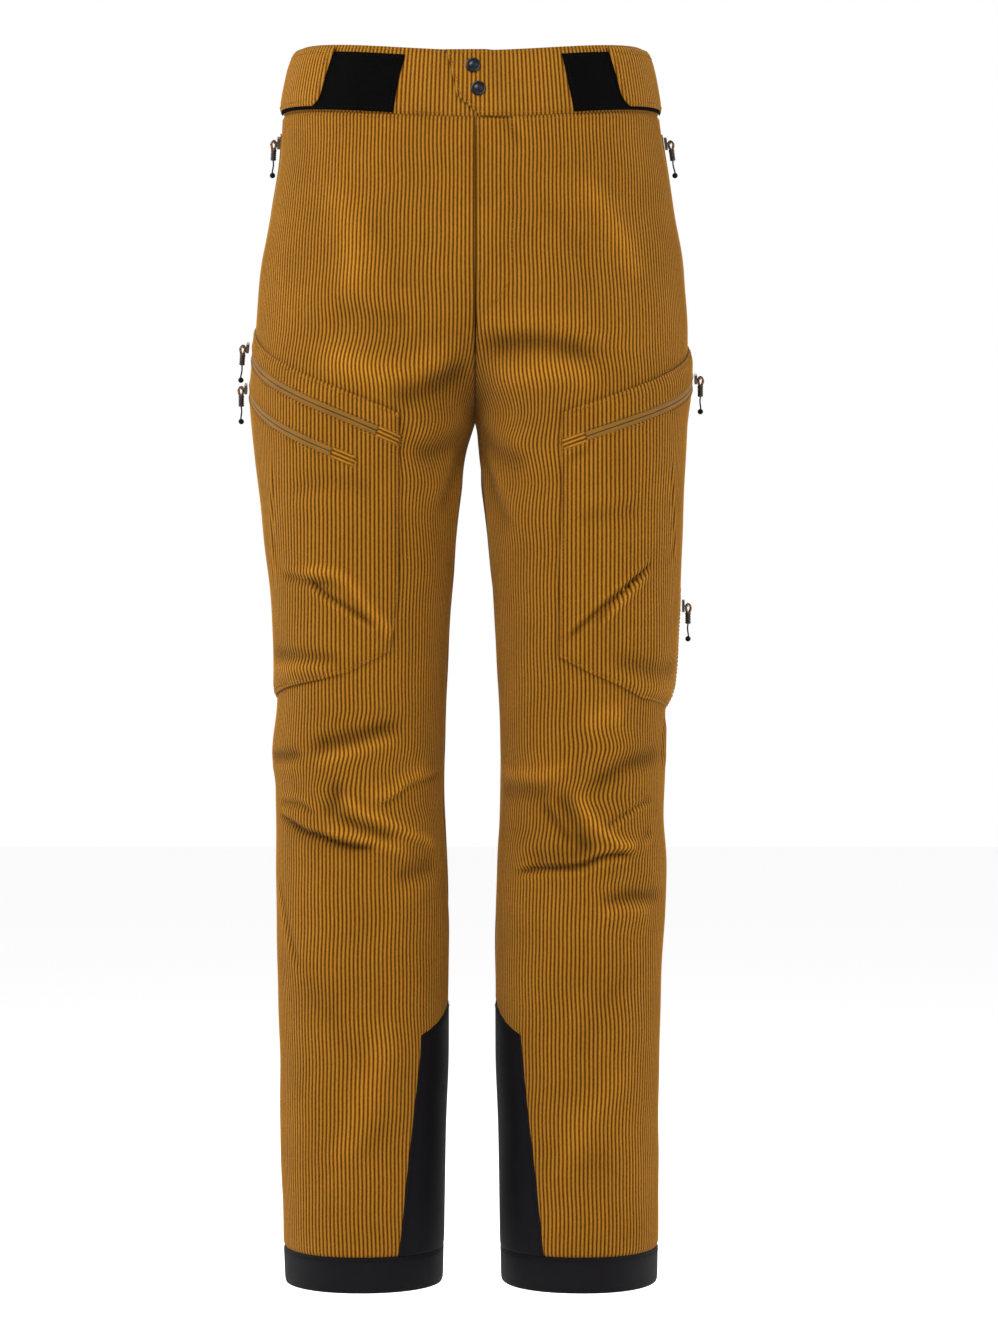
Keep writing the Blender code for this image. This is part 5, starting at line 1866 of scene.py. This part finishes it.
    def waist(self) -> None:
        """The rows along the waistband's edges and the end of the lap."""
        for side in Side:
            skin, end = self.band.skin(side), self.band.end(side) - self.inset
            s = np.linspace(0.002, end, 90)
            base = self.band.base(side, s)
            rows = [self.row(skin, *self.band.place(side, s, 0 * s + SIZES.waistband - self.inset), 0.0004),
                    self.row(skin, *self.band.place(side, s, base + self.inset), 0.0004)]
            if side is Side.LEFT:
                up = np.linspace(float(base[-1]) + self.inset, SIZES.waistband - self.inset, 20)
                rows.append(self.row(skin, *self.band.place(side, 0 * up + end, up), 0.0004))
                corner = s[s > end - 0.019]
                rows.append(self.row(skin, *self.band.place(
                    side, corner, self.band.base(side, corner) + 2.1 * self.inset), 0.0004))
            self.sew(f"band_front_{side.word}", rows)
        rows = []
        for side in Side:
            s = np.linspace(-0.002, 0.0002 - float(FORMS[side].lengths(np.array(-0.02))[1]), 90)
            for up in (self.inset, SIZES.waistband - self.inset):
                rows.append(self.row(self.band.skin(side), *self.band.place(side, s, 0 * s + up), 0.0004))
        self.sew("band_back", rows)

    def closures(self, made: WaistClosures) -> None:
        """The rows round the loop patches and the adjuster tabs."""
        for side in Side:
            skin = self.band.skin(side)
            low, high = made.patch_span[0] + self.inset, made.patch_span[1] - self.inset
            start, end = made.tab_front + 0.004, made.patch_front[side] - self.inset
            outline = np.array([(start, low), (end, low), (end, high), (start, high)])
            rows = [self.row(skin, *self.band.place(side, outline[:, 0], outline[:, 1]), made.patch_lift)]
            self.sew(f"loops_{side.word}", rows, black=True)
            low, high = made.tab_span[0] + 0.0042, made.tab_span[1] - 0.0042
            up = np.linspace(low, high, 24)
            front = made.tab_edge(up) - 0.0042
            s = np.concatenate([[made.tab_back + 0.004], front, [made.tab_back + 0.004]])
            up = np.concatenate([[low], up, [high]])
            rows = [self.row(skin, *self.band.place(side, s, up), made.tab_lift + 0.0003)]
            self.sew(f"tab_{side.word}", rows)

    def cargo(self, side: Side) -> None:
        """The rows round a cargo pocket and beside its zips."""
        skin, inset = self.pockets.skin(side), self.inset
        low, high = CARGO.bottom[side], CARGO.top[side]
        z = np.linspace(-0.532, -0.3215, 60)
        s = straight(CARGO.front[side], z) - inset
        inside = (z > straight(low, s) + inset) & (z < straight(high, s) - inset)
        rows = [self.row(skin, s[inside], z[inside], 0.0004)]
        s = np.linspace(CARGO.back + inset, float(s[inside].max()), 60)
        rows.append(self.row(skin, s, straight(high, s) - 1.08 * inset, 0.0004))
        s = np.linspace(CARGO.back + inset, float(straight(CARGO.front[side], -0.525)) - inset, 60)
        rows.append(self.row(skin, s, straight(low, s) + 1.08 * inset, 0.0004))
        back = CARGO.back + inset
        z = np.linspace(float(straight(low, back)) + inset, float(straight(high, back)) - inset, 40)
        rows.append(self.row(skin, 0 * z + back, z, 0.0004))
        for line in pocket_zips(side):
            rows += self.beside(line, skin)
        self.sew(f"pocket_{side.word}", rows)

    def beside(self, line: ZipLine, skin: Skin) -> list[Array]:
        """The two rows beside a zip, joined round its end tab where it has one."""
        past = self.pockets.tab_length + 0.0016 if line.tabbed else 0.0
        rows = []
        for edge in (-1, 1):
            start = 0.0105 if line.on_pocket else 0.004
            along_it = np.linspace(start, line.length + past, 60)
            rows.append(self.row(skin, *line.place(along_it, 0 * along_it + edge * self.zip_off), 0.0004))
        if line.tabbed:
            across = np.linspace(-0.0042, 0.0042, 4)
            rows.append(self.row(skin, *line.place(0 * across + line.length + past, across), 0.0004))
            for at in (0.0034, 0.0166):
                rows.append(self.row(skin, *line.place(0 * across + line.length + at, across), 0.0016))
        return rows

    def shell(self, side: Side) -> None:
        """The rows on a guard and a hem band."""
        skin = self.trim.skin(side, self.trim.guard_lift)
        z = np.linspace(GUARD.low[0], GUARD.shoulder[0] - 0.001, 40)
        rows = []
        for edge in (-1, 1):
            s = FORMS[side].lengths(z)[0] - edge * (GUARD.half(z) - self.inset)
            rows.append(self.row(skin, s, z, 0.0002))
            across = np.linspace(0.02, 0.95, 20)
            top = GUARD.top(across) - 0.0032
            s = FORMS[side].lengths(top)[0] - edge * across * GUARD.half(top)
            rows.append(self.row(skin, s, top, 0.0002))
        self.sew(f"guard_{side.word}", rows, black=True)
        skin = self.trim.skin(side, self.trim.band_lift)
        front, back = FORMS[side].lengths(np.array(-1.032))
        s = np.linspace(0.002 - float(back), float(front) - 0.002, 120)
        self.sew(f"hem_{side.word}", [self.row(skin, s, 0 * s - 1.032, 0.0002)], black=True)

    def hand(self, side: Side) -> None:
        """The rows beside a hand pocket's zip."""
        line = next(line for line in ZIP_LINES if line.side is side and not line.on_pocket)
        self.sew(f"tape_{line.name}", self.beside(line, self.panels.skin(side)))

    def build(self, closures: WaistClosures) -> None:
        """Sews everything."""
        self.waist()
        self.closures(closures)
        for side in Side:
            self.leg(side)
            self.cargo(side)
            self.shell(side)
            self.hand(side)


# ---------------------------------------------------------------- metal, rubber and cord


def turned(name: str, profile: Sequence[tuple[float, float]], sides: int) -> bpy.types.Object:
    """Models a round solid by drawing a disc up through its rings.

    Args:
        name: The object's name.
        profile: (radius, height) of each ring, from the bottom.
        sides: How many corners a ring has.

    Returns:
        The new object, round Z.
    """
    bpy.ops.object.select_all(action="DESELECT")
    (radius, height), *rings = profile
    bpy.ops.mesh.primitive_circle_add(vertices=sides, radius=radius, fill_type="NGON", location=(0, 0, height))
    bpy.ops.object.mode_set(mode="EDIT")
    bpy.ops.mesh.select_all(action="SELECT")
    for wide, top in rings:
        bpy.ops.mesh.extrude_region_move(TRANSFORM_OT_translate={"value": (0, 0, top - height)})
        bpy.ops.transform.resize(value=(wide / radius, wide / radius, 1), center_override=(0, 0, top))
        radius, height = wide, top
    bpy.ops.mesh.select_all(action="SELECT")
    bpy.ops.mesh.normals_make_consistent(inside=False)
    return modelled(name)


def tube(name: str, path: Array, radius: Array | float, sides: int) -> bpy.types.Object:
    """A cord along points in the XZ plane, with closed ends."""
    ahead = np.gradient(path, axis=0)
    ahead /= np.linalg.norm(ahead, axis=1, keepdims=True)
    across = np.broadcast_to([0.0, 1.0, 0.0], ahead.shape)
    up = np.cross(ahead, across)
    angles = np.arange(sides) * math.tau / sides
    radius = np.broadcast_to(radius, (len(path),))[:, None, None]
    rings = path[:, None] + radius * (np.cos(angles)[None, :, None] * across[:, None]
                                      + np.sin(angles)[None, :, None] * up[:, None])
    ids = np.arange(len(path) * sides).reshape(len(path), sides)
    ids = np.concatenate([ids, ids[:, :1]], 1)
    faces = numbered_faces(ids) + [ids[0, :-1].tolist()[::-1], ids[-1, :-1].tolist()]
    mesh = bpy.data.meshes.new(name)
    mesh.from_pydata(rings.reshape(-1, 3).tolist(), [], faces)
    mesh.polygons.foreach_set("use_smooth", [len(face) == 4 for face in faces])
    mesh.calc_loop_triangles()
    volume = sum(mesh.vertices[a].co.dot(mesh.vertices[b].co.cross(mesh.vertices[c].co))
                 for a, b, c in (t.vertices for t in mesh.loop_triangles))
    if volume < 0:
        mesh.flip_normals()
    return linked(name, mesh)


def joined(first: bpy.types.Object, *others: bpy.types.Object) -> bpy.types.Object:
    """Joins objects into the first."""
    bpy.ops.object.select_all(action="DESELECT")
    for obj in (first, *others):
        obj.select_set(True)
    bpy.context.view_layer.objects.active = first
    bpy.ops.object.join()
    return first


def placed(pattern: bpy.types.Object, name: str, place: Matrix, material: bpy.types.Material) -> bpy.types.Object:
    """A copy of a modelled pattern with its own mesh, moved to its place."""
    mesh = pattern.data.copy()
    mesh.name = name
    mesh.transform(place)
    mesh.materials.clear()
    mesh.materials.append(material)
    return linked(name, mesh)


@dataclass
class Snaps:
    """The two snap fasteners on the lap of the waistband."""

    finishes: Finishes
    band: Waistband
    heights: dict[str, float] = field(default_factory=lambda: {"upper": 0.0420, "lower": 0.0224})
    lift: float = 0.0038
    profile: Path = ((5.9, 0.0), (6.2, 0.25), (6.3, 0.7), (6.05, 1.1), (5.5, 1.22), (5.15, 1.02), (4.85, 1.0),
                     (4.6, 1.3), (4.0, 1.8), (3.0, 2.3), (1.8, 2.62), (0.7, 2.75))

    def build(self) -> None:
        """Models the cap once and puts both in place."""
        pattern = turned("snap_pattern", [(r * MM, h * MM) for r, h in self.profile], 40)
        bpy.ops.object.shade_smooth_by_angle(angle=math.radians(35))
        for name, up in self.heights.items():
            s, z = self.band.place(Side.LEFT, np.array(self.band.centre(Side.LEFT) + 0.001), np.array(up))
            point, normal = FORMS[Side.LEFT].at(s, z)
            out = Vector(normal)
            turn = Vector((0, 0, 1)).rotation_difference(out).to_matrix().to_4x4()
            place = Matrix.Translation(Vector(point) + out * self.lift) @ turn
            obj = placed(pattern, f"snapcap_{name}", place, self.finishes.snap)
            finish_piece(obj, "root", [f"snap_{name}"])
            report(obj)
        bpy.data.objects.remove(pattern)


@dataclass
class Pulls:
    """What hangs from each slider: a loop of thick cord, a ribbed grip, and a string with a knotted end."""

    finishes: Finishes
    slider_in: float = 0.008
    zip_face: float = 0.0020
    pocket_lift: float = 0.0033
    axis_height: float = 0.0056
    loop: Path = ((-0.3, -6.3), (-0.9, -5.2), (-1.4, -3.8), (-1.65, -1.9), (-1.6, 0.1), (-0.9, 1.45), (0.3, 1.75),
                  (1.4, 1.0), (2.1, -0.5), (2.25, -1.9), (1.95, -3.3), (1.4, -4.8), (0.7, -6.2))
    cord: Path = ((0.0, 1.1), (0.2, 1.1), (0.35, 0.85), (0.6, 0.85), (0.72, 1.1), (1.0, 1.15))
    grip: Path = ((1.3, -15.5), (2.0, -15.3), (2.35, -14.9), (2.5, -14.2), (2.5, -13.7), (2.05, -13.4),
                  (2.05, -13.1), (2.5, -12.8), (2.5, -12.0), (2.05, -11.7), (2.05, -11.4), (2.5, -11.1),
                  (2.5, -10.3), (2.05, -10.0), (2.05, -9.7), (2.5, -9.4), (2.5, -8.6), (2.05, -8.3),
                  (2.05, -8.0), (2.5, -7.7), (2.5, -6.4), (2.25, -5.7), (1.5, -5.3))
    string: float = 0.72
    ball: float = 2.25
    ball_middle: float = -28.3

    def patterns(self) -> dict[str, bpy.types.Object]:
        """Models the three pieces once, hanging from the origin."""
        line = smoothed(self.loop, 0.45) * MM
        radius = straight(self.cord, np.linspace(0, 1, len(line))) * MM
        loop = tube("loop_pattern", np.stack([line[:, 0], 0 * line[:, 0], line[:, 1]], 1), radius, 8)
        grip = turned("grip_pattern", [(r * MM, z * MM) for r, z in self.grip], 14)
        bpy.ops.object.shade_smooth_by_angle(angle=math.radians(35))
        bpy.ops.object.select_all(action="DESELECT")
        bpy.ops.mesh.primitive_ico_sphere_add(subdivisions=2, radius=self.ball * MM,
                                              location=(0, 0, self.ball_middle * MM))
        bpy.ops.object.mode_set(mode="EDIT")
        bpy.ops.mesh.select_all(action="SELECT")
        bpy.ops.mesh.inset(thickness=0.00022, depth=0.00028, use_individual=True)
        ball = modelled("ball_pattern")
        z = np.linspace(self.ball_middle + 1.5, -15.4, 15) * MM
        sway = 0.35 * MM * np.sin((z - z[-1]) / MM * 0.42)
        string = tube("string_pattern", np.stack([sway, 0 * z, z], 1), self.string * MM, 6)
        return {"loop": loop, "grip": grip, "ball": joined(ball, string)}

    def hang(self, line: ZipLine) -> Matrix:
        """The place of a pull: its bar, and the directions out, along the bar and up."""
        s, z = line.place(np.array(self.slider_in), np.array(0.0))
        point, normal = FORMS[line.side].at(s, z)
        point = Vector(point) + Vector(normal) * ((self.pocket_lift if line.on_pocket else 0.0) + self.zip_face)
        out = Vector((normal[0], normal[1], max(normal[2], 0.0))).normalized()
        axis = Vector((0.0, 0.0, 1.0)).cross(out).normalized()
        place = Matrix((out, axis, out.cross(axis))).transposed().to_4x4()
        place.translation = point + out * self.axis_height
        return place

    def build(self) -> None:
        """Hangs a pull on every slider, and finishes the sliders."""
        patterns = self.patterns()
        finishes = {"loop": (self.finishes.cord, "pull_cord"), "grip": (self.finishes.rubber, "pull_rubber"),
                    "ball": (self.finishes.string, "pull_string")}
        for line in ZIP_LINES:
            place = self.hang(line)
            for part, (material, slot) in finishes.items():
                obj = placed(patterns[part], f"{part}_{line.name}", place, material)
                finish_piece(obj, f"pull_{line.name}", [f"pull_{part}_{line.name}"])
                report(obj)
            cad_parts[f"slider_{line.name}"].data.materials[0] = self.finishes.slider
        for pattern in patterns.values():
            bpy.data.objects.remove(pattern)


@dataclass
class Studio:
    """A pale floor, soft lights and the camera."""

    distance: float = 3.0
    eye_x: float = 0.02336
    eye_z: float = -0.533
    lens: float = 93.25
    floor: float = -1.30
    glow: float = 0.5
    ambient: float = 0.50

    def ground(self) -> None:
        """A wide pale floor that glows a little where the camera sees it."""
        bpy.ops.object.select_all(action="DESELECT")
        bpy.ops.mesh.primitive_plane_add(size=24.0, location=(0, 0, self.floor))
        obj = modelled("ground")
        tree = Tree("pale_floor")
        tree.shader.inputs["Base Color"].default_value = (0.90, 0.90, 0.90, 1.0)
        tree.surface(0.9)
        tree.shader.inputs["Emission Color"].default_value = (1.0, 1.0, 1.0, 1.0)
        seen = tree.node("LightPath").outputs["Is Camera Ray"]
        tree.feed(tree.shader.inputs["Emission Strength"], tree.math("MULTIPLY", seen, self.glow))
        obj.data.materials.append(tree.material)

    def air(self) -> None:
        """White surroundings, dimmer as a light than as a backdrop."""
        world = bpy.data.worlds.new("studio")
        world.use_nodes = True
        nodes, links = world.node_tree.nodes, world.node_tree.links
        backdrop = nodes["Background"]
        backdrop.inputs["Color"].default_value = (1.0, 1.0, 1.0, 1.0)
        path, level = nodes.new("ShaderNodeLightPath"), nodes.new("ShaderNodeMapRange")
        level.inputs["To Min"].default_value = self.ambient
        level.inputs["To Max"].default_value = 1.0
        links.new(path.outputs["Is Camera Ray"], level.inputs["Value"])
        links.new(level.outputs[0], backdrop.inputs["Strength"])
        bpy.context.scene.world = world

    def light(self, name: str, place: Rgb, size: float, power: float, aim: Rgb = (0.0, 0.0, -0.5)) -> None:
        """A square soft light aimed at a point."""
        data = bpy.data.lights.new(name, "AREA")
        data.size = size
        data.energy = power
        lamp = bpy.data.objects.new(name, data)
        lamp.location = place
        lamp.rotation_euler = (Vector(aim) - Vector(place)).to_track_quat("-Z", "Y").to_euler()
        bpy.context.scene.collection.objects.link(lamp)

    def build(self) -> None:
        """Builds the stage, the lights, the air and the camera."""
        self.ground()
        self.air()
        self.light("key", (-1.0, -1.8, 1.3), 1.25, 47.0)
        self.light("fill", (2.0, -2.4, 0.7), 1.8, 21.0)
        self.light("rim_left", (-2.4, 0.7, 0.2), 1.2, 26.0)
        self.light("rim_right", (2.4, 0.7, 0.2), 1.2, 26.0)
        self.light("back", (0.0, 2.6, 1.4), 1.8, 45.0)
        bpy.context.scene.view_settings.view_transform = "Standard"
        data = bpy.data.cameras.new("camera")
        data.lens = self.lens
        data.sensor_width = 36.0
        camera = bpy.data.objects.new("camera", data)
        camera.location = (self.eye_x, -self.distance, self.eye_z)
        camera.rotation_euler = (math.pi / 2, 0.0, 0.0)
        bpy.context.scene.collection.objects.link(camera)
        bpy.context.scene.camera = camera


def main() -> None:
    """Builds the trousers piece by piece, and then the studio."""
    logging.basicConfig(level=logging.INFO, format="%(message)s")
    finishes = Finishes()
    panels = LegPanels(finishes)
    band = Waistband(finishes)
    closures = WaistClosures(finishes, band)
    pockets = CargoPockets(finishes)
    trim = ShellTrim(finishes, panels)
    Stitching(finishes, panels, band, pockets, trim).build(closures)
    for part in (panels, band, closures, pockets, trim, Zips(finishes, panels, pockets), Snaps(finishes, band),
                 Pulls(finishes)):
        part.build()
    Studio().build()


if __name__ == "__main__":
    main()
